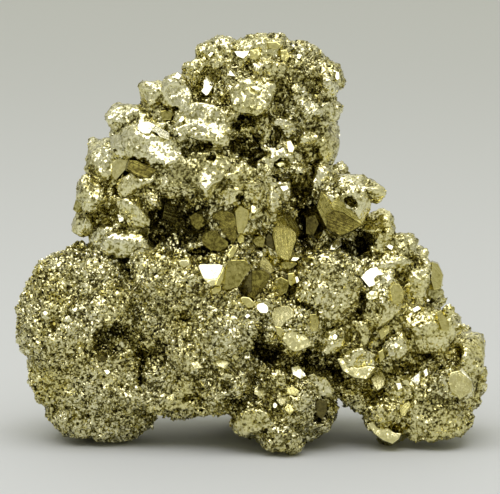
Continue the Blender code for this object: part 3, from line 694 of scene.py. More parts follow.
def habitPlanes(habit):
    # The planes of a form that fits a cube of half-size 1, as normals divided by their distance, and one face's normal.
    signs = np.array(list(np.ndindex(2, 2, 2))) * 2 - 1.0
    if habit == "cube":
        return np.concatenate([np.eye(3), -np.eye(3)]), (0, -1, 0)
    if habit == "octahedron":
        return signs, (-1, -1, 1)
    if habit == "shard":
        return signs[[0, 3, 5, 6]] * (0.8, 1.0, 1.25), (0, -1, 0)
    pairs = np.array([(a / 2, b, 0) for a in (-1, 1) for b in (-1, 1)], float)
    return np.concatenate([np.roll(pairs, turn, axis=1) for turn in range(3)]), (1, -2, 0)


def solidOf(planes):
    # The convex solid inside all planes: its corners are where three planes meet inside all the others, and each
    # face's corners go round its normal.
    trios = np.array([(i, j, k) for i in range(len(planes)) for j in range(i) for k in range(j)])
    sets = planes[trios]
    sets = sets[np.abs(np.linalg.det(sets)) > 1e-4]
    corners = np.linalg.solve(sets, np.ones((len(sets), 3, 1)))[..., 0]
    corners = corners[(corners @ planes.T < 1 + 1e-7).all(1)]
    corners = np.unique(np.round(corners, 6), axis=0)
    loops, sizes = [], []
    for plane in planes:
        on = np.nonzero(corners @ plane > 1 - 1e-5)[0]
        if len(on) < 3:
            continue
        spread = corners[on] - corners[on].mean(0)
        across = np.cross(plane, np.roll(plane, 1) + (0.1, 0.2, 0.3))
        order = np.argsort(np.arctan2(spread @ np.cross(plane, across) / np.linalg.norm(plane), spread @ across))
        loops += list(on[order])
        sizes.append(len(on))
    return corners, np.array(loops), np.array(sizes)


def habitForm(habit, uneven=0.0, throw=None):
    # A form as corners, faces and planes. An uneven one has faces that lie nearer its middle by random shares, and
    # some of its corners cut off.
    planes, front = habitPlanes(habit)
    if uneven:
        count = crystalStyle["corners"]
        cuts = unitRows(throw.normal(size=(count, 3)))
        if habit == "cube":
            cuts /= (np.abs(cuts).sum(1) * throw.uniform(*crystalStyle["cornerCut"], count))[:, None]
        else:
            cuts /= crystalStyle["softCut"]
        planes = np.concatenate([planes / (1 - uneven * throw.random(len(planes)))[:, None], cuts])
    corners, loops, sizes = solidOf(planes)
    turn = Vector(front).normalized().rotation_difference(Vector((0, -1, 0))).to_matrix()
    return {"corners": corners, "planes": planes, "loops": loops, "sizes": sizes, "front": np.array(turn)}


def stamp(form, frames, places):
    # Copies of one form: each one's corners are its 3x3 frame times the form's corners, plus its place.
    points = np.einsum("kij,vj->kvi", frames, form["corners"]) + places[:, None]
    loops = form["loops"][None] + (np.arange(len(places)) * len(form["corners"]))[:, None]
    return points.reshape(-1, 3), loops.ravel(), np.tile(form["sizes"], len(places))


def crystalFrames(rows, form):
    # Rz(yaw) Rx(-tilt) Ry(roll), times the half-sizes, times the turn that brings a face to the front.
    wide = np.array([row[4:7] for row in rows], float)
    yaw, tilt, roll = np.array([row[7:10] for row in rows], float).T
    zero = np.zeros(len(rows))
    turned = turns(zero, zero, yaw) @ turns(-tilt, zero, zero) @ turns(zero, roll, zero)
    return (turned * wide[:, None, :]) @ form["front"]


def stripeOf(form):
    # Growth lines run along the axis that follows the face's own longest one in x, y, z order.
    faceOf = np.repeat(np.arange(len(form["sizes"])), form["sizes"])
    corners = form["corners"][form["loops"]]
    middle = np.stack([np.bincount(faceOf, corners[:, axis]) for axis in range(3)], 1) / form["sizes"][:, None]
    lineAxis = np.eye(3)[(np.abs(middle).argmax(1) + 2) % 3]
    across = np.cross(middle, lineAxis)
    across /= np.linalg.norm(across, axis=1, keepdims=True)
    return (corners * across[faceOf]).sum(1)


def flatMesh(name, parts):
    # One mesh of all the parts, each of which gives its points, loops, face sizes, "stripe" for each face corner, and
    # tone, gold and strength of the growth lines for each point.
    starts = np.cumsum([0] + [len(part[0]) for part in parts])
    points, loops, sizes, stripes, *values = zip(*parts)
    points = np.concatenate(points)
    points[:, 2] = np.maximum(points[:, 2], layout["floor"])
    loops = [loop + start for loop, start in zip(loops, starts)]
    obj = meshOf(name, points, np.concatenate(loops), np.concatenate(sizes))
    obj.data.shade_flat()
    layer = obj.data.attributes.new("stripe", "FLOAT", "CORNER")
    layer.data.foreach_set("value", np.concatenate(stripes).astype(np.float32))
    for label, value in zip(("tone", "gold", "lines"), values):
        paint(obj, label, np.concatenate(value))
    return obj


def crystalMesh(name, rows, throw):
    # All crystals as one mesh. "stripe" is the distance across the growth lines of each face, in millimetres.
    parts = []
    for row in rows:
        form = habitForm(row[0], crystalStyle["uneven"], throw)
        place, loop, size = stamp(form, crystalFrames([row], form), np.array([row[1:4]], float))
        stripe = stripeOf(form) * np.mean(row[4:7]) + throw.uniform(0, crystalStyle["stripes"])
        values = row[10], throw.uniform(*crystalStyle["gold"]), throw.choice(crystalStyle["lines"])
        parts.append((place, loop, size, stripe, *(np.full(len(place), value) for value in values)))
    return flatMesh(name, parts)


def crystalCovers(rows):
    # place, matrix from the crystal's own space, its planes and how far it reaches, for each crystal
    covers = []
    for row in rows:
        form = habitForm(row[0])
        toWorld = crystalFrames([row], form)[0]
        reach = np.linalg.norm(form["corners"] @ toWorld.T, axis=1).max()
        covers.append((np.array(row[1:4], float), toWorld, form["planes"], reach))
    return covers


def nearestGauge(points, covers):
    # How deep each point lies in the crystals: under 1 is inside one.
    least = np.full(len(points), far)
    for place, toWorld, planes, reach in covers:
        near = np.nonzero(np.linalg.norm(points - place, axis=1) < reach * crystalStyle["search"][1])[0]
        local = (points[near] - place) @ np.linalg.inv(toWorld).T
        least[near] = np.minimum(least[near], (local @ planes.T).max(1))
    return least


def pushInside(points, covers):
    # Where a crystal covers the skin, the skin sinks to a share of the crystal's own size, so it never shows through.
    within, depth, least = crystalStyle["under"]
    for place, toWorld, planes, reach in covers:
        near = np.nonzero(np.linalg.norm(points - place, axis=1) < reach * crystalStyle["search"][0])[0]
        if not len(near):
            continue
        local = (points[near] - place) @ np.linalg.inv(toWorld).T
        gauge = (local @ planes.T).max(1)
        covered = gauge < within
        shrink = np.minimum(1, depth / np.maximum(gauge[covered], least))
        points[near[covered]] = place + (points[near[covered]] - place) * shrink[:, None]
    return points


# flat faces laid where the photograph shows them

# The camera, and the photograph that it looks out on: its width and middle in pixels, and the film's width
view = {
    "target": (0.0, 0.0, 29.9),
    "distance": 450.0,
    "pitch": 8.0,
    "lens": 211.5,
    "film": 36.0,
    "width": 500,
    "middle": (250.0, 247.0),
    "clip": (0.01, 20.0),
}

# The look of a flat crystal face: how far up it looks in degrees, tone and gold
# The tone is painted light and shade: faces that catch the lamp are lighter, faces turned to the dim front darker
looks = {
    "white": (33, 1.0, 0.0),
    "pale": (27, 1.0, 0.5),
    "matte": (15, 0.85, 0.5),
    "brass": (21, 0.8, 0.7),
    "yellow": (21, 1.0, 0.9),
    "olive": (9, 0.55, 0.7),
    "dark": (2, 0.28, 0.6),
    "black": (-2, 0.1, 0.0),
}

# Flat crystal faces of the front: look, whose tone is painted light and shade, how far to the right each looks in
# degrees, its corners in the photograph's pixels, and its growth lines (angle down to the right, strength). Faces of
# one crystal share corners.
faces = {
    "striated block": [
        ("dark", -6, [(211, 219), (215, 213), (220, 211), (227, 211), (233, 213), (235.6, 218), (237, 230),
            (236.5, 238), (234, 243), (228, 239), (222, 232), (219.5, 226), (218.5, 220.5)], (35, 0.8)),
        ("brass", 24, [(235.6, 218), (235, 211), (240, 205), (249, 210), (249.5, 215), (247.5, 224), (243, 233),
            (238, 233.5), (237, 230)]),
    ],
    "hollow crystals": [
        ("olive", 20, [(162, 212), (167, 208), (173, 211), (178, 219), (171, 225), (164, 222)]),
        ("dark", 0, [(189, 216), (196, 212), (204, 216), (205, 226), (198, 231), (191, 225)]),
    ],
    "nub": [
        ("yellow", 10, [(237, 236), (241, 234), (244.5, 237), (244, 242), (240, 244), (237, 241)]),
    ],
    "slivers": [
        ("pale", 0, [(250.5, 206), (253.5, 203), (258, 209.5), (255, 213.5), (251, 213)]),
        ("white", 4, [(251, 216), (255, 215), (256, 219), (252, 220)]),
    ],
    "round block": [
        ("dark", -4, [(201.5, 238), (203, 234), (209, 231), (214, 230.5), (218, 232.5), (223, 237), (228, 241),
            (229, 246), (224, 250), (220, 251.5), (211.5, 251), (206, 247.5), (203, 244)]),
    ],
    "white triangle": [
        ("white", -3, [(198, 265.5), (201, 264), (220, 264), (223.5, 265.5), (221, 273), (217, 279), (209, 279.5),
            (203.5, 279), (200.5, 272)], (40, 0.3)),
        ("pale", -8, [(203.5, 279), (209, 279.5), (217, 279), (215, 285.5), (210.5, 286.5)]),
        ("brass", 34, [(223.5, 265.5), (225.3, 269.5), (223.5, 279.5), (220.5, 285.5), (215, 285.5), (217, 279),
            (221, 273)]),
    ],
    "chip": [
        ("brass", 0, [(211, 290), (215, 286.5), (221, 286.5), (221.5, 290), (216, 294), (212, 294)]),
    ],
    "olive block": [
        ("olive", -8, [(222, 290), (222.5, 285), (223.5, 280), (225.3, 270), (227.5, 262), (231, 259.7),
            (244.5, 259.7), (248, 262.5), (250, 267), (250, 270), (246, 275), (241.5, 282), (239, 286),
            (231, 289.5)]),
    ],
    "striated rib": [
        ("brass", 20, [(260.3, 260), (262.5, 255), (270, 262), (274.7, 270.5), (270, 274), (265, 271),
            (259.5, 267)], (35, 0.9)),
        ("white", 0, [(258.6, 252), (261, 250.5), (263.4, 254), (262, 257.5), (259.5, 256)]),
    ],
    "dark block": [
        ("black", -22, [(240.2, 286.5), (244.2, 280), (250, 272), (251.7, 272.5), (251.5, 291), (248, 296.5),
            (240.2, 293.5)]),
        ("dark", 12, [(251.7, 272.5), (252, 271), (260.2, 270), (265, 271.4), (270, 275), (269.4, 279),
            (266.6, 285.4), (263.4, 291.8), (258, 294), (254.6, 299), (248, 296.5), (251.5, 291)], (80, 0.4)),
    ],
    "yellow crystal": [
        ("yellow", -12, [(284.2, 213), (281, 217.5), (277, 223), (273, 229.5), (272.2, 235), (273.8, 241.5),
            (275.5, 251), (278, 256), (284, 260), (289, 260.2), (291.5, 256), (293, 249.5), (296.2, 240),
            (296, 234), (293, 229.5), (288, 226)], (84, 0.8)),
        ("dark", 34, [(284.2, 213), (288, 213), (291.5, 216), (297, 222), (300.3, 229), (300.2, 235), (296.2, 240),
            (296, 234), (293, 229.5), (288, 226)], (60, 0.3)),
    ],
    "olive cluster": [
        ("olive", -10, [(274.6, 280), (281, 276.8), (288, 280.5), (289, 284), (287, 292), (280.5, 296),
            (276.5, 291), (274, 285.5)], (80, 0.3)),
        ("yellow", 14, [(288, 280.5), (288, 273.5), (294, 272.5), (297, 275.5), (296, 283), (291, 286),
            (289, 284)]),
        ("white", 0, [(294.5, 277), (298, 275.5), (300, 281), (296.5, 284)]),
    ],
    "steps": [
        ("white", 0, [(290, 260.8), (292.5, 256.8), (299, 257), (300, 258.5), (296, 261.5)]),
        ("olive", 0, [(280.5, 263), (285, 261), (296, 262), (297.5, 265), (290, 270), (282, 269)]),
    ],
    "wedges": [
        ("black", 10, [(266, 238), (268, 233), (272, 235), (274, 243), (275, 250), (270, 248), (266, 245)]),
        ("olive", -8, [(253, 239), (258, 236), (264, 236.5), (265, 241), (263, 247.5), (256, 247), (253, 243)]),
    ],
    "olive plate": [
        ("brass", -6, [(240.2, 298), (243, 296.6), (249, 297.4), (252, 300), (254.8, 304), (253, 307.5),
            (247, 307.5), (244, 304), (240.5, 300)]),
    ],
    "round white": [
        ("white", 0, [(256, 306), (258, 303.3), (264, 302), (268, 305.5), (269, 311), (266.5, 313.5), (260, 313),
            (257, 309.5)]),
    ],
    "pale block": [
        ("pale", -8, [(272, 312), (274.7, 307.6), (281.3, 306), (289, 306), (294, 310.9), (294.5, 316.4),
            (289, 319.7), (285.7, 321.9), (281.3, 327.4), (274.7, 326), (272.5, 319.7)], (86, 0.9)),
        ("brass", 6, [(274.7, 326), (281.3, 327.4), (283.5, 330.7), (281.3, 338.4), (276.9, 334)]),
        ("pale", 4, [(281.3, 338.4), (285.7, 331.8), (295.6, 331.3), (301.1, 333.5), (305.5, 332.9), (311.6, 345.6),
            (300, 350.5), (294.5, 351.6), (289, 348.3)]),
    ],
    "side rib": [
        ("brass", 20, [(309.4, 314.2), (316.5, 313.7), (319.8, 323), (317.6, 330.7), (311, 331.8),
            (309.9, 323)], (80, 0.7)),
    ],
    "foot chips": [
        ("black", 4, [(315.5, 402), (319, 399.5), (326.5, 401), (327, 412), (322, 419), (316.5, 415.5)]),
        ("white", 0, [(291.2, 367), (298.4, 364.8), (306.6, 375.8), (300, 379.1), (292.3, 374.7)]),
        ("white", -6, [(272.5, 404), (275, 401), (278, 405), (276, 408.5), (273, 408)]),
        ("pale", 6, [(276, 399.5), (280, 398), (286.5, 399), (286, 403), (281, 406)], (70, 0.8)),
        ("brass", 0, [(283.5, 409), (289.5, 402), (294.5, 410), (290, 415.4)]),
        ("brass", -10, [(286, 388), (293, 386.5), (300, 391), (296, 396), (287, 394)], (70, 0.5)),
        ("pale", 10, [(254, 389), (258, 386), (266, 388), (267, 394), (260, 397), (254, 394)]),
    ],
    "middle chips": [
        ("white", 0, [(243, 352.7), (249.5, 351.6), (250.5, 358.3), (244, 359.3)]),
        ("pale", -6, [(215.3, 362), (219, 359), (227, 360.4), (229.6, 363), (225.2, 369.2), (216.4, 365.9)]),
        ("pale", 8, [(190, 362), (197, 360), (204, 368), (194, 369)]),
        ("pale", -8, [(178, 262), (181, 259.8), (189, 260), (189.5, 264), (184, 268), (180, 266)]),
        ("brass", 4, [(227, 255), (233, 245), (237, 250), (233, 257), (229, 259)]),
        ("white", 4, [(103, 370), (108, 369), (111, 372), (107, 375.5)]),
        ("pale", 0, [(231, 356), (236, 353), (240, 357), (236, 361)]),
        ("white", 4, [(244, 316), (248, 313.5), (251, 316), (247, 319)]),
    ],
    "right boulder": [
        ("dark", -6, [(327, 216), (333, 210.5), (343, 212.5), (353, 219.5), (362, 225), (350, 232), (340.6, 236),
            (332.5, 232), (327, 228.5)], (20, 1.0)),
        ("olive", -4, [(333, 210.5), (331, 204), (338, 196), (345, 205), (352, 210.5), (362, 222), (362, 225),
            (353, 219.5), (343, 212.5)], (35, 1.0)),
        ("olive", -40, [(317, 208), (321, 191), (327, 197), (331, 204), (333, 210.5), (327, 216),
            (326.5, 228)], (64, 0.6)),
    ],
    "right chips": [
        ("white", -4, [(360, 275), (370, 268), (377, 266.5), (379.5, 270.5), (385, 274.5), (377, 276), (374.5, 279),
            (375.7, 285), (369, 287.5), (360, 277)]),
        ("brass", 4, [(389.5, 288), (393, 283.5), (399, 283.5), (404, 291), (404, 298), (399, 304.5),
            (392, 302)], (86, 0.9)),
        ("white", 2, [(330.5, 246), (335, 240.5), (341, 240.5), (341.5, 245), (335, 250), (331, 250)]),
        ("white", 8, [(384.5, 245), (388, 243.5), (394, 246), (392, 250.5), (389, 249)]),
        ("white", 0, [(412, 309), (418, 305.5), (421.5, 309), (414, 313)]),
        ("white", -8, [(427, 290), (430, 288.5), (431.5, 293), (428, 294.5)]),
        ("white", 6, [(425.5, 300), (428, 298), (430.5, 300.5), (428, 302.5)]),
        ("pale", -4, [(366, 293), (371, 290.5), (378, 292), (378, 298), (370, 301), (366, 298)]),
        ("brass", 40, [(432, 262), (438, 264), (443, 275), (441, 288), (434, 290), (431, 280)], (50, 0.5)),
        ("brass", 34, [(436, 312), (441, 310), (449, 322), (449, 331), (442, 331)], (76, 0.4)),
        ("white", 0, [(332, 336), (335, 332.5), (338, 336), (336.5, 340), (333, 340)]),
    ],
    "slope block": [
        ("brass", 6, [(378, 331), (383, 325.5), (390.5, 324.5), (389, 333), (381, 340)]),
        ("pale", -6, [(337, 359), (343, 358), (348, 365), (357, 368), (368, 366), (375.5, 367), (366.5, 379.3),
            (354, 377.5), (343, 371)]),
        ("pale", 6, [(371, 378), (377, 371.5), (381, 370), (385.5, 376), (384, 386), (378, 391),
            (373, 385)], (80, 0.3)),
        ("brass", 0, [(378, 352), (383, 349), (385.5, 357), (380, 363)]),
        ("white", 0, [(393.5, 344), (396, 342), (398.5, 345), (397.5, 348.5), (394.5, 348)]),
    ],
    "slit chips": [
        ("white", -10, [(410, 380), (420.5, 370.5), (420, 381), (418, 386)], (80, 0.3)),
        ("white", 6, [(423, 371), (427, 367), (428.5, 375), (425, 377.5)]),
        ("white", 0, [(395.5, 383), (402, 382.5), (403, 388), (398, 390.5)]),
        ("brass", 0, [(399, 408), (409, 400), (411, 404), (405, 416), (401, 417)], (-50, 0.9)),
    ],
    "great face": [
        ("matte", 8, [(448, 381), (450.5, 372.5), (459.5, 370.3), (472, 382), (472, 391), (459.5, 399.7),
            (456, 395), (450.5, 391)], (60, 0.15)),
        ("white", 26, [(459.5, 370.3), (462, 367.5), (471, 379), (472, 382)]),
    ],
    "foot crystal": [
        ("pale", -6, [(368, 425), (370, 421), (375, 421), (382, 428.5), (388, 427.5), (394, 432.5), (401.5, 433.7),
            (399, 439), (392.5, 443.8), (383.5, 440.5), (374.5, 434)]),
    ],
    "crown chips": [
        ("white", 8, [(209.5, 73), (217, 77.5), (213.5, 86), (209, 94), (206, 96), (200.8, 91), (203.5, 87.5),
            (203, 80.5), (206, 76)]),
        ("white", 0, [(234, 51.5), (238, 51), (243, 51.5), (250, 50.5), (248, 55), (243.5, 59), (237, 56.5)]),
        ("white", 4, [(226.5, 75.5), (230.5, 69.5), (237, 77)]),
        ("pale", -10, [(200, 60), (204, 56), (206.5, 59), (203, 62.5)]),
        ("white", -6, [(207.5, 55), (211, 51), (214, 53), (210, 58)]),
        ("white", 0, [(173.5, 78), (177, 72), (182, 76), (179, 80)]),
        ("pale", 10, [(250, 87), (256, 85.5), (263, 89), (258, 93)]),
        ("white", 6, [(294.5, 58), (298, 53.5), (302.5, 55), (300, 59.5)]),
        ("white", 12, [(336, 71), (339.5, 72), (340, 79), (337, 80.5), (335, 78)]),
        ("white", 0, [(300.5, 91), (303, 89.5), (305.5, 91), (303, 93.5)]),
        ("white", 0, [(255, 82), (258, 81), (258.5, 83.5), (256, 84)]),
        ("brass", 0, [(250, 50), (258, 49), (261, 54), (256, 60), (250, 59)]),
        ("brass", 6, [(280, 50), (287, 49.5), (290, 56), (287, 62), (281, 60)]),
        ("brass", 4, [(267, 42), (276, 41.5), (281, 45), (277, 49), (269, 48)]),
    ],
    "shoulder chips": [
        ("white", -4, [(137, 126), (139, 122), (148.5, 121.5), (156, 125.3), (151.5, 131), (149.5, 134),
            (143, 133.8), (137, 129.5)]),
        ("white", 8, [(151.5, 131), (156, 125.3), (165, 130), (170, 134), (169.5, 140), (160, 137),
            (157, 133)], (20, 0.9)),
        ("dark", -6, [(129, 160), (136, 160.5), (157, 169.5), (149, 178.5), (139, 177), (127, 169)], (22, 1.0)),
        ("matte", -20, [(112, 162), (119, 157.5), (128, 161), (125, 170), (116, 180), (112, 176)], (-60, 0.3)),
        ("white", 0, [(130, 173.5), (135, 172), (137, 174.5), (134, 177.5)]),
        ("white", 4, [(178, 121), (182.5, 115), (185, 119), (181, 123)]),
        ("olive", 0, [(160, 111), (166, 110), (173, 113), (171, 120), (162, 120)]),
        ("white", -4, [(117, 214), (124, 215), (124, 221), (119, 223)]),
    ],
    "upper right chips": [
        ("pale", 6, [(286, 141), (291, 140), (295, 148), (293, 153), (288, 152)]),
        ("white", 0, [(337, 166), (340, 164), (343.5, 170), (339, 171)]),
        ("white", 0, [(280, 175), (288, 174), (289, 178), (284, 178)]),
        ("white", 0, [(254.5, 147), (258, 143.5), (260, 146), (256.5, 148.5)]),
        ("pale", 0, [(275, 164), (282, 161), (286, 164), (280, 167.5)]),
        ("white", 0, [(279, 186), (287, 185), (289, 189), (283, 192)]),
    ],
}

faceStyle = {
    "stray": 2.5,           # degrees by which faces stray from the listed way
    "window": 20,           # pixels round a face's middle in which the skin under it is sought
    "few": (4, 6),          # with fewer points than this under it, the nearest ones are taken
    "near": 2.5,            # only the front of the skin counts, this deep
    "rank": 30,             # of it, the face stands at this percentile
    "proud": 0.25,          # and this much in front
    "root": 2.4,
    "spread": 1.12,         # how much wider the root is than the face
    "rim": 1.5,             # pixels round a face where the skin settles too
    "bury": 0.5,            # how far behind the face it settles
    "ahead": 4.0,           # skin further in front than this is left alone
    "pixel": 0.153,         # millimetres across a pixel
    "sides": 0.15,          # how much darker the sides are: painted shade
    "edge": 0.12,
}

# Big worn facets of the front boulders, in the same way. The crust itself is pressed flat there.
facets = {
    "big block": [
        ("olive", -24, [(167, 185), (169, 174), (175, 160), (184, 152), (210, 150), (207, 162), (200, 176),
            (196, 184), (180, 188), (170, 188)]),
        ("brass", 22, [(210, 150), (220, 151), (230, 160), (238, 172), (243.5, 186), (239.5, 192), (228, 190),
            (218, 182), (212, 174), (207, 162)]),
        ("pale", 0, [(207, 162), (212, 174), (218, 182), (210, 185), (196, 184), (200, 176)]),
    ],
    "cracked block, top": [
        ("matte", 4, [(172, 122), (176, 112), (186, 104), (200, 99), (215, 101), (226, 108), (232, 118), (231, 127),
            (222, 127), (208, 124), (195, 120), (184, 120)]),
    ],
    "cracked block, foot": [
        ("brass", -4, [(172, 127), (184, 125), (196, 126), (208, 130), (221, 133), (229, 134), (226, 142),
            (213, 146), (198, 147), (184, 144), (174, 136)]),
    ],
    "upper block": [
        ("matte", 8, [(231.6, 86), (244.8, 78), (258, 79.5), (271, 91), (274.5, 102.5), (261, 115.5), (244.8, 119),
            (231.6, 115.5), (228.3, 99)]),
    ],
    "slab": [
        ("pale", 6, [(146, 141), (160, 138), (172, 141), (181, 150), (182, 158), (176, 164), (160, 163),
            (147, 155)]),
        ("matte", -22, [(126, 142), (134, 136), (146, 141), (147, 155), (138, 160), (128, 157)]),
    ],
    "pale boulder": [
        ("pale", -4, [(258.5, 147), (266, 143), (276, 142), (287, 145), (294, 150), (295, 158), (289, 165),
            (278, 171), (268, 166), (261, 158)]),
    ],
    "round boulder": [
        ("pale", -12, [(166, 92), (171, 85), (180, 83), (189, 87), (192, 96), (189, 105), (181, 109), (171, 106),
            (166, 100)]),
    ],
}

pressed = {
    "rank": 40,
    "proud": 0.0,
    "inFront": 4.0,         # skin this far in front of a facet and this far behind it is pressed
    "behind": 2.0,
    "relief": 0.15,         # share of its relief that it keeps
    "grains": 0.25,         # share of its grains
}


def sightLines(pixels):
    # The way from the camera through each pixel: forward + (px - 250) / F right + (247 - py) / F up, F in pixels.
    pitch = math.radians(view["pitch"])
    forward = np.array((0, math.cos(pitch), -math.sin(pitch)))
    off = (np.atleast_2d(pixels) - view["middle"]) * (1, -1) / (view["width"] * view["lens"] / view["film"])
    return forward + off[:, :1] * (1, 0, 0) + off[:, 1:] * (0, math.sin(pitch), math.cos(pitch))


def eyePlace():
    return np.array(view["target"]) - sightLines(view["middle"])[0] * view["distance"]


def pictured(points):
    # Each point's pixel, and how far it lies along the camera's forward direction.
    local = (points - eyePlace()) @ turns(view["pitch"], 0, 0)[0].T
    focal = view["width"] * view["lens"] / view["film"]
    return view["middle"] + local[:, [0, 2]] * (1, -1) * focal / local[:, 1:2], local[:, 1]


def within(pixels, corners):
    # Inside an outline: a line drawn to the right from the pixel crosses it an odd number of times.
    crossings = np.zeros(len(pixels), int)
    for (x0, y0), (x1, y1) in zip(corners, np.roll(corners, -1, axis=0)):
        if y0 != y1:
            level = (pixels[:, 1] < y0) != (pixels[:, 1] < y1)
            crossings += level & (pixels[:, 0] < x0 + (pixels[:, 1] - y0) * (x1 - x0) / (y1 - y0))
    return crossings % 2 == 1


def planeDepth(face, pixels):
    # How far along each sight line the face's plane is met.
    ways = sightLines(pixels)
    return ((face["place"] - eyePlace()) @ face["normal"]) / (ways @ face["normal"])


def layFaces(points, normals, table, style):
    # Each face's plane looks its own way and stands just proud of the skin behind its outline. A face that shares
    # corners with an earlier one of its crystal meets it there instead.
    throw = np.random.default_rng(layout["seed"] + 6)
    eye = eyePlace()
    pixels, depth = pictured(points)
    facing = normals[:, 1] < 0
    few, taken = faceStyle["few"]
    laid = []
    for crystal in table.values():
        earlier = []
        for look, turn, corners, *lines in crystal:
            rise, tone, gold = looks[look]
            turn, rise = np.radians(throw.normal((turn, rise), faceStyle["stray"]))
            face = {
                "spots": corners, "corners": np.array(corners, float),
                "tone": tone, "gold": gold, "lines": lines[0] if lines else (0, 0),
                "normal": np.array((math.sin(turn) * math.cos(rise), -math.cos(turn) * math.cos(rise), math.sin(rise))),
            }
            middle = face["corners"].mean(0)
            shared = [(other, [spot for spot in corners if spot in other["spots"]]) for other in earlier]
            shared = [(other, spots) for other, spots in shared if len(spots) > 1]
            if shared:
                other, spots = shared[0]
                middle = np.mean(spots, 0)
                level = planeDepth(other, middle)[0]
            else:
                close = np.nonzero(facing & (np.abs(pixels - middle).max(1) < faceStyle["window"]))[0]
                under = close[within(pixels[close], face["corners"])]
                if len(under) < few:
                    under = close[np.argsort(np.linalg.norm(pixels[close] - middle, axis=1))[:taken]]
                level = depth[under]
                level = np.percentile(level[level < level.min() + faceStyle["near"]], style["rank"]) - style["proud"]
            face["place"] = eye + sightLines(middle)[0] * level
            earlier.append(face)
            laid.append(face)
    return laid


def pressFlat(points, normals, laid):
    # The front of the skin within each facet's outline is drawn onto its plane and keeps a share of its relief.
    # Returns the facet's tone, the painted light and shade of its look, at each point, or -1.
    eye = eyePlace()
    tones = np.full(len(points), -1.0)
    for face in laid:
        pixels, depth = pictured(points)
        close = np.nonzero(within(pixels, face["corners"]))[0]
        off = depth[close] - planeDepth(face, pixels[close])
        near = (off > -pressed["inFront"]) & (off < pressed["behind"]) & ((normals[close, 1] < 0) | (off < 0))
        close, off = close[near], off[near]
        ways = sightLines(pixels[close])
        points[close] = eye + ways * (depth[close] - off * (1 - pressed["relief"]))[:, None]
        tones[close] = face["tone"]
    return points, tones


def settleUnder(points, laid):
    # The skin behind a face drops below it, so that it never shows through. Returns which points did.
    eye = eyePlace()
    covered = np.zeros(len(points), bool)
    for face in laid:
        pixels, depth = pictured(points)
        middle = face["corners"].mean(0)
        rim = faceStyle["rim"] / np.ptp(face["corners"], axis=0).mean() * 2
        spread = middle + (face["corners"] - middle) * (1 + rim)
        close = np.nonzero(np.linalg.norm(pixels - middle, axis=1) < np.linalg.norm(spread - middle, axis=1).max())[0]
        close = close[within(pixels[close], spread)]
        plane = planeDepth(face, pixels[close])
        near = (depth[close] < plane + faceStyle["bury"]) & (depth[close] > plane - faceStyle["ahead"])
        close, plane = close[near], plane[near]
        points[close] = eye + sightLines(pixels[close]) * (plane + faceStyle["bury"])[:, None]
        covered[close] = True
    return points, covered


def faceMesh(name, laid):
    # Each face is carried straight back along the sight lines, spreading a little, to a flat root in the mass.
    eye = eyePlace()
    parts = []
    for face in laid:
        corners = face["corners"]
        x, y = corners.T
        if (x * np.roll(y, -1) - np.roll(x, -1) * y).sum() > 0:
            corners = corners[::-1]
        n = len(corners)
        front = planeDepth(face, corners)
        middle = corners.mean(0)
        spread = middle + (corners - middle) * faceStyle["spread"]
        back = front.max() + faceStyle["root"]
        places = np.concatenate([eye + sightLines(corners) * front[:, None], eye + sightLines(spread) * back])
        one = np.arange(n)
        two = np.roll(one, -1)
        sides = np.stack([two, one, one + n, two + n], 1)
        loop = np.concatenate([one, one[::-1] + n, sides.ravel()])
        angle, strength = face["lines"]
        way = -math.sin(math.radians(angle)), math.cos(math.radians(angle))
        across = np.concatenate([corners, spread]) @ way * faceStyle["pixel"] + middle[0]
        # The sides darken towards the root: painted shade
        tone = np.repeat((face["tone"], face["tone"] - faceStyle["sides"]), n)
        sizes = np.array([n, n] + [4] * n)
        parts.append((places, loop, sizes, across[loop], tone, np.full(2 * n, face["gold"]), np.full(2 * n, strength)))
    return flatMesh(name, parts)


# the skin's relief and recesses

relief = {
    "facets": ((2.4, 0.55), (1.2, 0.32)),   # cell size and lift of the tilted facets
    "tilt": 1.4,            # how steep they are
    "creases": (0.3, 0.12),       # depth of the cracks between them, as a share of the lift, and width, of the cell
    "blocks": (4.6, 1.5, 0.7, 0.4),     # cell size of the blocks between the boulders, lift, crack depth and width
    "pits": (1.3, 0.7, 0.82, 0.3),      # cell size, depth, share of cells without one, width as a share of the cell
}

# Painted shade: how dark the recesses are painted. Cells of space are shut where they hold skin, and light runs in
# between them
shade = {
    "cell": 0.6,
    "margin": 4,            # empty cells round the mass
    "under": 0.6,           # cells this far under the skin are shut too, as a share of a cell
    "clear": 0.8,           # light is read one cell and this far above the skin
    "soft": (14, 90),       # smoothing passes of the skin whose light is read, and of the one that dents are held to
    "passes": (4, 2),       # and of the light, and of the depth in the hollows
    "open": 0.25,           # below this share of open sky it gets darker, by this much
    "darken": 0.15,
    "dents": (0.55, 3.5, -0.3, 0.7),    # depth of a small dent and of a wide one, and the least and most of a wide one
    "jointEdge": (1.6, 0.3),      # how sharply a joint darkens, and the share of it that stays light
    "joint": 0.2,
    "cave": 0.2,
    "mouth": 0.3,           # a hollow darkens from this depth, and is darkest this much deeper
    "fade": 2.2,
    "wall": (1.25, 0.15),   # how far past a hollow's own size that reaches, and over what share of it it ends
    "narrow": (1.5, 0.2),   # hollows narrower than this stay lighter, down to this share
    "shift": 0.1,           # how much lighter or darker whole boulders are
}


def tiltedCells(points, size, seeds, salt):
    # Cells of this size, each a plane that tips and lifts by random amounts, and the distance to a cell's border.
    owner, away, gap = nearestSeeds(points, size, seeds)
    tilt = np.stack([dice(owner, salt + axis) for axis in range(3)], -1) * 2 - 1
    return (tilt * away).sum(1) / size * relief["tilt"] + dice(owner, salt + 4) - 0.5, gap


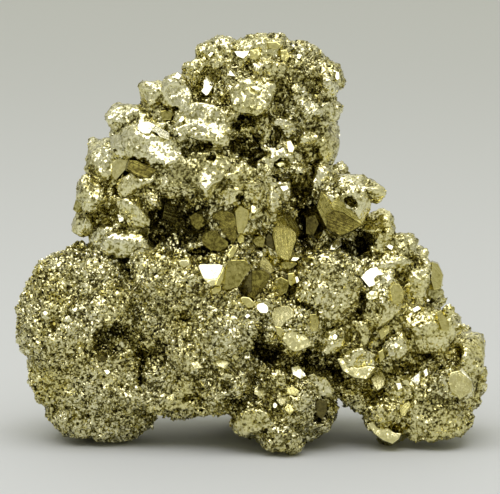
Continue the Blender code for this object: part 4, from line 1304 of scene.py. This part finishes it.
def reliefOf(points, rough, blocky):
    # Tilted facets in cells of two sizes, with fine cracks between them, and scattered pits. Under them, where the
    # mass is blocky, lie bigger tilted cells with deep cracks.
    size, amount, crack, width = relief["blocks"]
    plane, gap = tiltedCells(points, size, 30, 33)
    under = amount * plane - crack * np.exp(-(gap / width) ** 2)
    lift = np.zeros(len(points))
    deep, thin = relief["creases"]
    for level, (size, amount) in enumerate(relief["facets"]):
        plane, gap = tiltedCells(points, size, facetSalt + 10 * level, 43 + 10 * level)
        lift += amount * plane
        lift -= deep * amount * np.exp(-(gap / (thin * size)) ** 2)
    size, depth, free, wide = relief["pits"]
    owner, away, gap = nearestSeeds(points, size, 80)
    lift -= depth * (dice(owner, 83) > free) * np.exp(-((away ** 2).sum(1)) / (wide * size) ** 2)
    return lift * rough + under * blocky


def daylight(points, normals):
    # How open each spot is, from 0 to 1. Space is a grid of cells, shut where they hold skin. Seen from 26 sides, a
    # cell is lit if the next cell that way is lit and open, worked out layer by layer from the far end.
    size = shade["cell"]
    low = points.min(0) - shade["margin"] * size

    def cellOf(places):
        return tuple(((places - low) / size).astype(int).T)

    shut = np.zeros(((points.max(0) - low) / size).astype(int) + shade["margin"] + 1, bool)
    shut[cellOf(points)] = True
    shut[cellOf(points - normals * size * shade["under"])] = True
    spot = cellOf(points + normals * (size + shade["clear"]))
    seen, most = 0, 0
    for way in np.array(list(np.ndindex(3, 3, 3))) - 1:
        if not way.any():
            continue
        axis = int(np.abs(way).argmax())
        others = np.delete(way, axis)
        lit = np.ones_like(shut)
        here, wall = np.moveaxis(lit, axis, 0), np.moveaxis(shut, axis, 0)
        layers = range(len(here) - 2, -1, -1) if way[axis] > 0 else range(1, len(here))
        for i in layers:
            here[i] = np.roll(here[i + way[axis]] & ~wall[i + way[axis]], -others, axis=(0, 1))
        share = np.maximum(normals @ (way / np.linalg.norm(way)), 0)
        seen = seen + share * lit[spot]
        most = most + share
    return seen / np.maximum(most, 1e-6)


def caveDepth(points):
    # How deep in a hollow each point lies, for its painted shade: 0 at its mouth, 1 where it is painted darkest.
    # Narrow hollows are painted lighter.
    deepest = np.zeros(len(points))
    past, edge = shade["wall"]
    wide, least = shade["narrow"]
    for row in hollowTable():
        gauge, _ = boulderGauge(points, row, np.zeros((1, 3)), np.ones(1))
        inside = np.clip((past - gauge) / edge, 0, 1) * np.clip(min(row[3], row[5]) / wide, least, 1)
        deepest = np.maximum(deepest, inside * np.clip((points[:, 1] - row[1] - shade["mouth"]) / shade["fade"], 0, 1))
    return deepest


def dentsOf(points, normals, soft, wide):
    # How far each point lies below the smoothed skins: from -1 on a bump to 1 in a dent.
    small, broad, least, most = shade["dents"]
    dents = np.clip(((soft - points) * normals).sum(1) / small, -1, 1)
    dents += np.clip(((wide - points) * normals).sum(1) / broad, least, most)
    return np.clip(dents, -1, 1)


def makeSkin(covers, backLumps):
    rows = boulderTable(backLumps)
    points, quads = largestShell(*growSkin(rows))
    points = smoothed(points, quads, skin["evening"])
    normals = normalsOf(points, quads)
    owner, face, gap = nearestBoulders(points, rows, cutPlanes(len(rows), boulderSalt))
    seam = np.exp(-(gap / skin["seamWidth"]) ** 2) * rows[owner, 11]
    shift = (dice(np.stack([owner] * 3, 1), 95) * 2 - 1) * (1 - rows[owner, 17])
    fill = np.exp(-(gap / skin["fillWidth"]) ** 2) * rows[owner, 12]
    rough, blocky, grainy = smoothed(rows[owner, 15:18], quads, skin["blend"]).T
    draw = dice(np.stack([owner, face, owner], 1), 91)
    begin, over = skin["bareEdge"]
    bare = (draw < rows[owner, 13]) * (face >= 0) * np.clip((gap - begin) / over, 0, 1)

    lift = reliefOf(points, rough * (1 - skin["bareSmooth"] * bare), blocky) - seam + fill
    low, high = skin["footing"]
    points = points + normals * (lift * np.clip((points[:, 2] - low) / high, 0, 1))[:, None]
    points[:, 2] = np.maximum(points[:, 2], 0.0)
    points = pushInside(points, covers)
    normals = normalsOf(points, quads)
    points, facet = pressFlat(points, normals, layFaces(points, normals, facets, pressed))
    normals = normalsOf(points, quads)
    bare = np.where(facet >= 0, 1.0, bare)
    grainy = np.where(facet >= 0, grainy * pressed["grains"], grainy)

    # What the painted shade is made from: how open the skin is to the room, how deep in a hollow, joints and dents
    soft = smoothed(points, quads, shade["soft"][0])
    wide = smoothed(soft, quads, shade["soft"][1])
    broad = normalsOf(soft, quads)
    day = smoothed(daylight(soft, broad)[:, None], quads, shade["passes"][0])[:, 0]
    cave = smoothed(caveDepth(points)[:, None], quads, shade["passes"][1])[:, 0]
    sharp, light = shade["jointEdge"]
    joint = np.clip(seam * sharp - light, 0, 1) * (facet < 0)
    hollow = dentsOf(points, normals, soft, wide)
    laid = layFaces(soft, broad, faces, faceStyle)
    points, covered = settleUnder(points, laid)
    return {
        "points": points, "quads": quads, "normals": normals, "broad": broad, "hollow": hollow, "bare": bare,
        "grainy": grainy, "day": day, "covered": covered.astype(float), "laid": laid,
        "joint": joint, "shift": shift, "cave": cave, "facet": facet,
    }


def paintedShadeAndBoulderTone(body):
    # Painted shade: how much darker the tone is painted in the recesses, where little of the room is seen, in the
    # joints and in the hollows. Each boulder is also a little lighter or darker as a whole.
    shut = shade["darken"] * np.clip(1 - body["day"] / shade["open"], 0, 1)
    return shut + shade["joint"] * body["joint"] + shade["cave"] * body["cave"] - shade["shift"] * body["shift"]


# the crust of grains

crust = {
    "shards": 60000,        # four-faced slivers that make the finest glitter
    "cubes": 22000,
    "points": 16000,
    "shardSize": ((0.09, 0.20), (0.12, 0.26)),   # half-sizes where the crust is sugary, then where it is blocky
    "grainSize": ((0.09, 0.20), (0.11, 0.34)),
    "patch": (7.0, 1.6, 0.5),     # how far apart the fine and the blocky patches lie, how sharp, share of blocky ones
    "order": 1.5,           # grains in one cell of this size lie nearly parallel
    "lean": 34.0,           # degrees by which a cell's grains may lean from the surface
    "jitter": 8.0,          # degrees by which each one strays
    "wild": (0.18, 60.0),   # share of them that lies anyhow, and how much
    "stretch": (0.8, 1.25),
    "uneven": 0.12,         # how unlike a perfect form a cube or octahedron is
    "sink": 0.5,            # share of its size that a grain is sunk
    "smooth": (0.4, 0.6),   # size and height of the grains on the smoothest skin, and what the roughest adds
    "lowest": 0.5,          # none sit lower
    "covered": 0.3,         # nor where this share of the skin lies under a flat face
    "bareShare": 0.93,      # share of the grains that a bare face lacks
    "pepper": (0.3, 0.45, 1.3),   # share of dark grains, how much darker they are, and how rough skin hides them
    "tone": (0.72, 0.2, 0.12, 0.18, 0.16),    # mean, spread of grains, of their cells, darker in dents (painted shade), patches
    "gold": (0.25, 0.3, 0.15),    # mean, patches, spread
    "studs": 420,           # bigger crystals scattered over the crust
    "studSize": (0.40, 0.85),
    "studOrder": 0.1,
}


def grainSpots(body, count, throw):
    # Random places on the skin, even by area: a quad is drawn by its size, then a point in one of its halves. The
    # skin's own values are blended there from the half's three corners.
    points, quads = body["points"], body["quads"]
    corner = np.where(throw.random(count)[:, None] < 0.5, 1, 3)
    spans = points[quads[:, 2]] - points[quads[:, 0]], points[quads[:, 3]] - points[quads[:, 1]]
    area = np.linalg.norm(np.cross(*spans), axis=1)
    chosen = quads[throw.choice(len(quads), count, p=area / area.sum())]
    third = np.take_along_axis(chosen, corner, axis=1)[:, 0]
    a, b = np.sort(throw.random((2, count)), axis=0)
    share = np.stack([a, b - a, 1 - b], 1)
    ends = np.stack([chosen[:, 0], third, chosen[:, 2]], 1)
    spots = {}
    for name in ("points", "normals", "broad", "hollow", "bare", "grainy", "day", "covered", "joint", "shift", "cave"):
        value = body[name]
        spots[name] = (value[ends] * (share[..., None] if value.ndim > 1 else share)).sum(1)
    for name in ("normals", "broad"):
        spots[name] = unitRows(spots[name])
    return spots


def grainMesh(name, habit, body, count, sizes, throw, covers, order):
    # Grains of one habit, stamped on the skin where nothing covers it. Neighbours in one cell lie nearly parallel.
    spots = grainSpots(body, count, throw)
    clear = (nearestGauge(spots["points"], covers) > 1.0) & (spots["points"][:, 2] > crust["lowest"])
    clear &= spots["covered"] < crust["covered"]
    clear &= throw.random(count) > spots["bare"] * crust["bareShare"]
    clear &= throw.random(count) < spots["grainy"]
    spots = {key: value[clear] for key, value in spots.items()}
    least, more = crust["smooth"]
    place, rough = spots["points"], least + more * spots["grainy"]
    count = len(place)

    patch, sharp, share = crust["patch"]
    blocky = np.clip(smoothNoise(place, patch, 61) * sharp + share, 0, 1) * rough
    low = sizes[0][0] + (sizes[1][0] - sizes[0][0]) * blocky
    high = sizes[0][1] + (sizes[1][1] - sizes[0][1]) * blocky
    half = low + (high - low) * throw.random(count) ** 2
    owner, _, _ = nearestSeeds(place, order, 70)
    lean = [(dice(owner, 73 + axis) * 2 - 1) * crust["lean"] * rough for axis in range(2)]
    wild = throw.random(count) < crust["wild"][0] * rough ** 2
    stray = throw.normal(0, 1, (3, count)) * np.where(wild, crust["wild"][1], crust["jitter"])
    frames = framesOn(spots["broad"]) @ turns(*lean, dice(owner, 75) * 360) @ turns(*stray)
    stretch = throw.uniform(*crust["stretch"], (count, 3)) * np.stack([np.ones(count)] * 2 + [least + more * rough], 1)
    frames = frames * (half[:, None] * stretch)[:, None, :]
    place = place + spots["normals"] * (half * (1 - 2 * crust["sink"]))[:, None]

    form = habitForm(habit, *((crust["uneven"], throw) if habit != "shard" else ()))
    points, loops, faceSizes = stamp(form, frames, place)
    points[:, 2] = np.maximum(points[:, 2], layout["floor"])
    obj = meshOf(name, points, loops, faceSizes)
    obj.data.shade_flat()
    mean, spread, cells, dents, patches = crust["tone"]
    tone = mean + spread * throw.normal(size=count) + cells * dice(owner, 77)
    # Painted shade: darker in dents and recesses, lighter on bumps
    tone = tone - dents * np.clip(spots["hollow"], -0.5, 1)
    tone += patches * smoothNoise(place, tints["tonePatch"], toneSalt) - paintedShadeAndBoulderTone(spots)
    dark, darker, hidden = crust["pepper"]
    tone -= darker * (throw.random(count) < dark) * (hidden - rough)
    paint(obj, "tone", np.repeat(tone, len(form["corners"])))
    mean, patches, spread = crust["gold"]
    gold = mean + patches * smoothNoise(place, tints["goldPatch"], goldSalt) + spread * throw.normal(size=count)
    paint(obj, "gold", np.repeat(np.clip(gold, 0, 1), len(form["corners"])))
    print(name, count, "grains,", count * int((form["sizes"] - 2).sum()), "triangles")
    return obj


# materials

metal = {
    "pit": (0.10, 0.085, 0.03, 1),
    "brown": (0.17, 0.146, 0.045, 1),
    "olive": (0.39, 0.357, 0.125, 1),
    "brass": (0.77, 0.733, 0.41, 1),
    "bright": (0.91, 0.88, 0.61, 1),
    "gold": (0.92, 0.85, 0.36, 1),
    "stops": ((0.16, "brown"), (0.36, "olive"), (0.64, "brass")),     # between pit at 0, where painted shade is darkest, and bright at 1
    "mottle": (420.0, 0.5),       # scale and strength of the noise in the tone
    "wear": 900.0,          # scale of the noise in the roughness
    "tips": (("Voronoi", 1.0, 1.0), ("Voronoi", 0.37, 0.7), ("Noise", 0.8, 1.8)),     # cells: scale and share
    "pits": (2000.0, 0.39, 0.53),       # scale of the noise of the pits' painted shade, and where a pit ends and begins
    "ridges": 3.2,          # growth lines to a millimetre
    "ridgeHeight": 0.0006,
    "striped": 0.5,
    "crustRough": (0.13, 0.28),
    "faceRough": (0.10, 0.24),
}
# For each finish: cells in a metre, then how far they tip and how deep the pits are where the skin is bare and loose
crustGlitter = (2500.0, (0.2, 0.9), (0.3, 0.95))
grainGlitter = (3000.0, (0.3, 0.3), (0.7, 0.7))
faceGlitter = (3000.0, (0.12, 0.12), (0.2, 0.2))


def node(tree, kind, settings=None, **inputs):
    made = tree.nodes.new(kind)
    for key, value in (settings or {}).items():
        setattr(made, key, value)
    for key, value in inputs.items():
        socket = made.inputs[int(key[1:])] if key[0] == "_" else made.inputs[key.replace("_", " ")]
        if isinstance(value, bpy.types.NodeSocket):
            tree.links.new(value, socket)
        else:
            socket.default_value = value
    return made


def group(name, inputs, outputs):
    tree = bpy.data.node_groups.new(name, "ShaderNodeTree")
    for label, kind, value in inputs:
        socket = tree.interface.new_socket(label, in_out="INPUT", socket_type=kind)
        if value is not None:
            socket.default_value = value
    for label, kind in outputs:
        tree.interface.new_socket(label, in_out="OUTPUT", socket_type=kind)
    return tree, tree.nodes.new("NodeGroupInput").outputs, tree.nodes.new("NodeGroupOutput").inputs


def mathNode(tree, operation, *values):
    inputs = {f"_{i}": value for i, value in enumerate(values)}
    return node(tree, "ShaderNodeMath", {"operation": operation}, **inputs).outputs[0]


def rangeNode(tree, value, fromLow, fromHigh, toLow, toHigh):
    made = node(tree, "ShaderNodeMapRange", Value=value, _1=fromLow, _2=fromHigh, _3=toLow, _4=toHigh)
    return made.outputs[0]


def noiseNode(tree, scale, detail, roughness=0.5):
    spot = node(tree, "ShaderNodeTexCoord").outputs["Object"]
    made = node(tree, "ShaderNodeTexNoise", Vector=spot, Scale=scale, Detail=detail, Roughness=roughness)
    return made.outputs["Fac"]


def painted(tree, name):
    return node(tree, "ShaderNodeAttribute", {"attribute_name": name}).outputs["Fac"]


def brassTone():
    # Colour and roughness from a tone (0 dark brown, for tarnish and for painted shade, 1 bright) and a share of golden
    # tint, mottled by noise.
    number, colour = "NodeSocketFloat", "NodeSocketColor"
    tree, given, result = group(
        "brass tone",
        [("Tone", number, 0.6), ("Gold", number, 0.2), ("Low Rough", number, 0.2), ("High Rough", number, 0.4)],
        [("Color", colour), ("Roughness", number)],
    )
    scale, strength = metal["mottle"]
    shift = mathNode(tree, "MULTIPLY_ADD", noiseNode(tree, scale, 4.0, 0.65), strength, given["Tone"])
    ramp = node(tree, "ShaderNodeValToRGB", Fac=mathNode(tree, "SUBTRACT", shift, strength / 2))
    stops = ramp.color_ramp.elements
    stops[0].position, stops[0].color = 0.0, metal["pit"]
    stops[1].position, stops[1].color = 1.0, metal["bright"]
    for level, colour in metal["stops"]:
        stops.new(level).color = metal[colour]
    tint = node(tree, "ShaderNodeMix", {"data_type": "RGBA", "blend_type": "MULTIPLY"}, _0=given["Gold"])
    tree.links.new(ramp.outputs["Color"], tint.inputs[6])
    tint.inputs[7].default_value = metal["gold"]
    tree.links.new(tint.outputs[2], result["Color"])
    wear = noiseNode(tree, metal["wear"], 2.0)
    tree.links.new(rangeNode(tree, wear, 0.3, 0.7, given["Low Rough"], given["High Rough"]), result["Roughness"])
    return tree


def glitterCells():
    # A normal that tips by a random amount in each small cell of space, in two sizes, as on unresolved grains, and
    # a mask of painted shade for the dark pits between them.
    number, vector = "NodeSocketFloat", "NodeSocketVector"
    tree, given, result = group(
        "glitter cells",
        [("Cells", number, 2500.0), ("Tip", number, 0.4), ("Pits", number, 0.5)],
        [("Normal", vector), ("Pit", number)],
    )
    spot = node(tree, "ShaderNodeTexCoord").outputs["Object"]
    total = node(tree, "ShaderNodeNewGeometry").outputs["Normal"]
    for kind, scale, share in metal["tips"]:
        size = mathNode(tree, "MULTIPLY", given["Cells"], scale)
        cells = node(tree, "ShaderNodeTex" + kind, Vector=spot, Scale=size).outputs["Color"]
        centred = node(tree, "ShaderNodeVectorMath", {"operation": "SUBTRACT"}, _0=cells, _1=(0.5, 0.5, 0.5)).outputs[0]
        amount = mathNode(tree, "MULTIPLY", given["Tip"], share)
        tipped = node(tree, "ShaderNodeVectorMath", {"operation": "SCALE"}, _0=centred, Scale=amount).outputs[0]
        total = node(tree, "ShaderNodeVectorMath", {"operation": "ADD"}, _0=tipped, _1=total).outputs[0]
    unit = node(tree, "ShaderNodeVectorMath", {"operation": "NORMALIZE"}, _0=total)
    tree.links.new(unit.outputs[0], result["Normal"])
    scale, deep, free = metal["pits"]
    holes = noiseNode(tree, scale, 2.0, 0.65)
    tree.links.new(rangeNode(tree, holes, deep, free, given["Pits"], 0.0), result["Pit"])
    return tree


def pyrite(name, groups, rough, glitter, striped=0.0):
    # Metal whose tone, gold and looseness are painted on the mesh, with growth lines across it where striped.
    material = bpy.data.materials.new(name)
    material.use_nodes = True
    tree = material.node_tree
    shader = tree.nodes["Principled BSDF"]
    shader.inputs["Metallic"].default_value = 1.0
    cells, tip, pits = glitter
    loose = painted(tree, "loose")
    tips = rangeNode(tree, loose, 0.0, 1.0, *tip)
    holes = rangeNode(tree, loose, 0.0, 1.0, *pits)
    cellular = node(tree, "ShaderNodeGroup", {"node_tree": groups[1]}, Cells=cells, Tip=tips, Pits=holes)
    # The tone is darker in the pits: painted shade
    brass = node(
        tree, "ShaderNodeGroup", {"node_tree": groups[0]},
        Tone=mathNode(tree, "SUBTRACT", painted(tree, "tone"), cellular.outputs["Pit"]),
        Gold=painted(tree, "gold"), Low_Rough=rough[0], High_Rough=rough[1],
    )
    tree.links.new(brass.outputs["Color"], shader.inputs["Base Color"])
    tree.links.new(brass.outputs["Roughness"], shader.inputs["Roughness"])
    if not striped:
        tree.links.new(cellular.outputs["Normal"], shader.inputs["Normal"])
        return material
    ridges = node(
        tree, "ShaderNodeTexNoise", {"noise_dimensions": "1D"},
        W=painted(tree, "stripe"), Scale=metal["ridges"], Detail=4.0, Roughness=0.7,
    )
    bump = node(
        tree, "ShaderNodeBump", Strength=striped, Distance=metal["ridgeHeight"],
        Height=mathNode(tree, "MULTIPLY", ridges.outputs["Fac"], painted(tree, "lines")),
        Normal=cellular.outputs["Normal"],
    )
    tree.links.new(bump.outputs["Normal"], shader.inputs["Normal"])
    return material


# the room

studio = {
    "floorHalf": 2.0,
    "floorColor": (0.59, 0.6, 0.55, 1),
    "floorRough": 0.8,
    "key": {"place": (-0.05, -0.22, 0.72), "size": (0.85, 0.65), "radiance": 2.25, "color": (1.0, 1.0, 1.18)},
    "keyAim": (0.0, 0.0, 0.03),
    "back": {"place": (0.0, 1.25, 0.9), "size": (1.6, 1.0), "radiance": 0.42, "color": (1.0, 1.0, 1.0)},
    "roomColor": (1.0, 1.0, 0.92, 1),
    "roomBack": (-0.3, 0.9, 0.4, 0.46),     # brightness from front to back: where it begins and ends, and its values
    "roomOver": (0.25, 0.8, 0.0, 0.26),     # and what is added overhead
}


def addLamp(name):
    # A soft rectangle of light. Its power is radiance times area times pi.
    style = studio[name]
    lamp = bpy.data.lights.new(name, "AREA")
    lamp.shape = "RECTANGLE"
    lamp.size, lamp.size_y = style["size"]
    lamp.energy = style["radiance"] * style["size"][0] * style["size"][1] * math.pi
    lamp.color = style["color"]
    obj = bpy.data.objects.new(name, lamp)
    obj.location = style["place"]
    bpy.context.scene.collection.objects.link(obj)
    return obj


def makeRoom():
    bpy.ops.mesh.primitive_plane_add(size=2 * studio["floorHalf"])
    floor = bpy.context.object
    floor.name = "floor"
    paper = bpy.data.materials.new("paper")
    paper.use_nodes = True
    shader = paper.node_tree.nodes["Principled BSDF"]
    shader.inputs["Base Color"].default_value = studio["floorColor"]
    shader.inputs["Roughness"].default_value = studio["floorRough"]
    floor.data.materials.append(paper)
    key = addLamp("key")
    aim = Vector(studio["keyAim"]) - key.location
    key.rotation_euler = aim.to_track_quat("-Z", "Y").to_euler()
    addLamp("back")


def makeWorld():
    # Brightness by direction: dim at the front, lighter overhead and behind.
    world = bpy.data.worlds.new("room")
    bpy.context.scene.world = world
    world.use_nodes = True
    tree = world.node_tree
    tree.nodes.clear()
    parts = node(tree, "ShaderNodeSeparateXYZ", Vector=node(tree, "ShaderNodeTexCoord").outputs["Generated"])
    back = rangeNode(tree, parts.outputs["Y"], *studio["roomBack"])
    over = rangeNode(tree, parts.outputs["Z"], *studio["roomOver"])
    total = mathNode(tree, "ADD", back, over)
    light = node(tree, "ShaderNodeBackground", Color=studio["roomColor"], Strength=total)
    out = node(tree, "ShaderNodeOutputWorld")
    tree.links.new(light.outputs[0], out.inputs["Surface"])


def makeCamera():
    data = bpy.data.cameras.new("camera")
    data.sensor_width = view["film"]
    data.lens = view["lens"]
    data.clip_start, data.clip_end = view["clip"]
    camera = bpy.data.objects.new("camera", data)
    pitch = math.radians(view["pitch"])
    target = np.array(view["target"]) - layout["origin"]
    back = np.array((0, -math.cos(pitch), math.sin(pitch))) * view["distance"]
    camera.location = Vector((target + back) * mm)
    camera.rotation_euler = (math.radians(90) - pitch, 0, 0)
    bpy.context.scene.collection.objects.link(camera)
    bpy.context.scene.camera = camera


# the pieces

# Tone and gold of the skin, with its painted shade, and the size of the patches in which skin and grains are lighter
# or more golden
tints = {
    "tonePatch": 2.6,
    "goldPatch": 5.0,
    "tone": (0.93, 0.15, 0.25, 0.1),    # mean, patches, darker in dents and darker under grains (both painted shade)
    "facets": 0.35,         # how unlike in tone neighbouring facets are
    "worn": (0.1, 1.2, 0.4),      # big facets: patches, their size, and share of the recesses' painted shade
    "gold": (0.3, 0.3),
    "loose": (0.42, 0.58, 0.25),  # how freely the finish glitters: on smooth skin, more on rough, less on bare
}


def finishPiece(obj, material, edge=0.0):
    if edge:
        bevel = obj.modifiers.new("edges", "BEVEL")
        bevel.width = edge * mm
        bevel.segments = 2
    obj.data.materials.append(material)
    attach(obj, "root")


def paintSkin(body, surface):
    # Tone: lighter and darker in patches and from facet to facet, with painted shade, darker in dents, recesses and
    # under grains and lighter on bumps. Big facets take the painted light and shade of their look.
    points, worn = surface["points"], surface["facet"] >= 0
    mean, patches, dents, grains = tints["tone"]
    owner, _, _ = nearestSeeds(points, relief["facets"][0][0], facetSalt)
    tone = mean + patches * smoothNoise(points, tints["tonePatch"], toneSalt)
    tone = tone - dents * np.clip(surface["hollow"], -0.5, 1) - grains * surface["grainy"]
    tone += (dice(owner, 93) - 0.5) * tints["facets"] - paintedShadeAndBoulderTone(surface)
    patches, size, share = tints["worn"]
    flat = surface["facet"] + patches * smoothNoise(points, size, 66) - share * paintedShadeAndBoulderTone(surface)
    paint(body, "tone", np.where(worn, flat, tone))
    mean, patches = tints["gold"]
    paint(body, "gold", np.clip(mean + patches * smoothNoise(points, tints["goldPatch"], goldSalt), 0, 1))
    smooth, more, less = tints["loose"]
    paint(body, "loose", (smooth + more * surface["grainy"]) * (1 - less * surface["bare"]))


def build():
    makeCamera()
    makeWorld()
    makeRoom()
    bpy.context.scene.view_settings.view_transform = "Standard"
    throw = np.random.default_rng(layout["seed"] + 2)
    backLumps, backCrystals = backGrowths()
    rows = crystals + backCrystals
    covers = crystalCovers(rows)
    surface = makeSkin(covers, backLumps)
    print("skin:", len(surface["quads"]) * 2, "triangles")
    groups = brassTone(), glitterCells()
    crustMetal = pyrite("pyrite crust", groups, metal["crustRough"], crustGlitter)
    grainMetal = pyrite("pyrite grains", groups, metal["crustRough"], grainGlitter)
    faceMetal = pyrite("pyrite faces", groups, metal["faceRough"], faceGlitter, metal["striped"])
    body = quadMesh("pyrite_skin", surface["points"], surface["quads"])
    paintSkin(body, surface)
    finishPiece(body, crustMetal)
    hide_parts("pyrite_cluster")
    for name, habit, count, sizes in (
        ("shards", "shard", crust["shards"], crust["shardSize"]),
        ("cube_grains", "cube", crust["cubes"], crust["grainSize"]),
        ("point_grains", "octahedron", crust["points"], crust["grainSize"]),
    ):
        for part in range(2):
            grains = grainMesh(f"{name}_{part}", habit, surface, count // 2, sizes, throw, covers, crust["order"])
            finishPiece(grains, grainMetal)
    sizes = (crust["studSize"],) * 2
    studs = grainMesh("studs", "pyritohedron", surface, crust["studs"], sizes, throw, covers, crust["studOrder"])
    finishPiece(studs, grainMetal)
    print("grains laid")
    finishPiece(crystalMesh("crystals", rows, throw), faceMetal, crystalStyle["edge"])
    finishPiece(faceMesh("crystal_faces", surface["laid"]), faceMetal, faceStyle["edge"])
    print("crystals set,", len(surface["laid"]), "flat faces laid")


build()
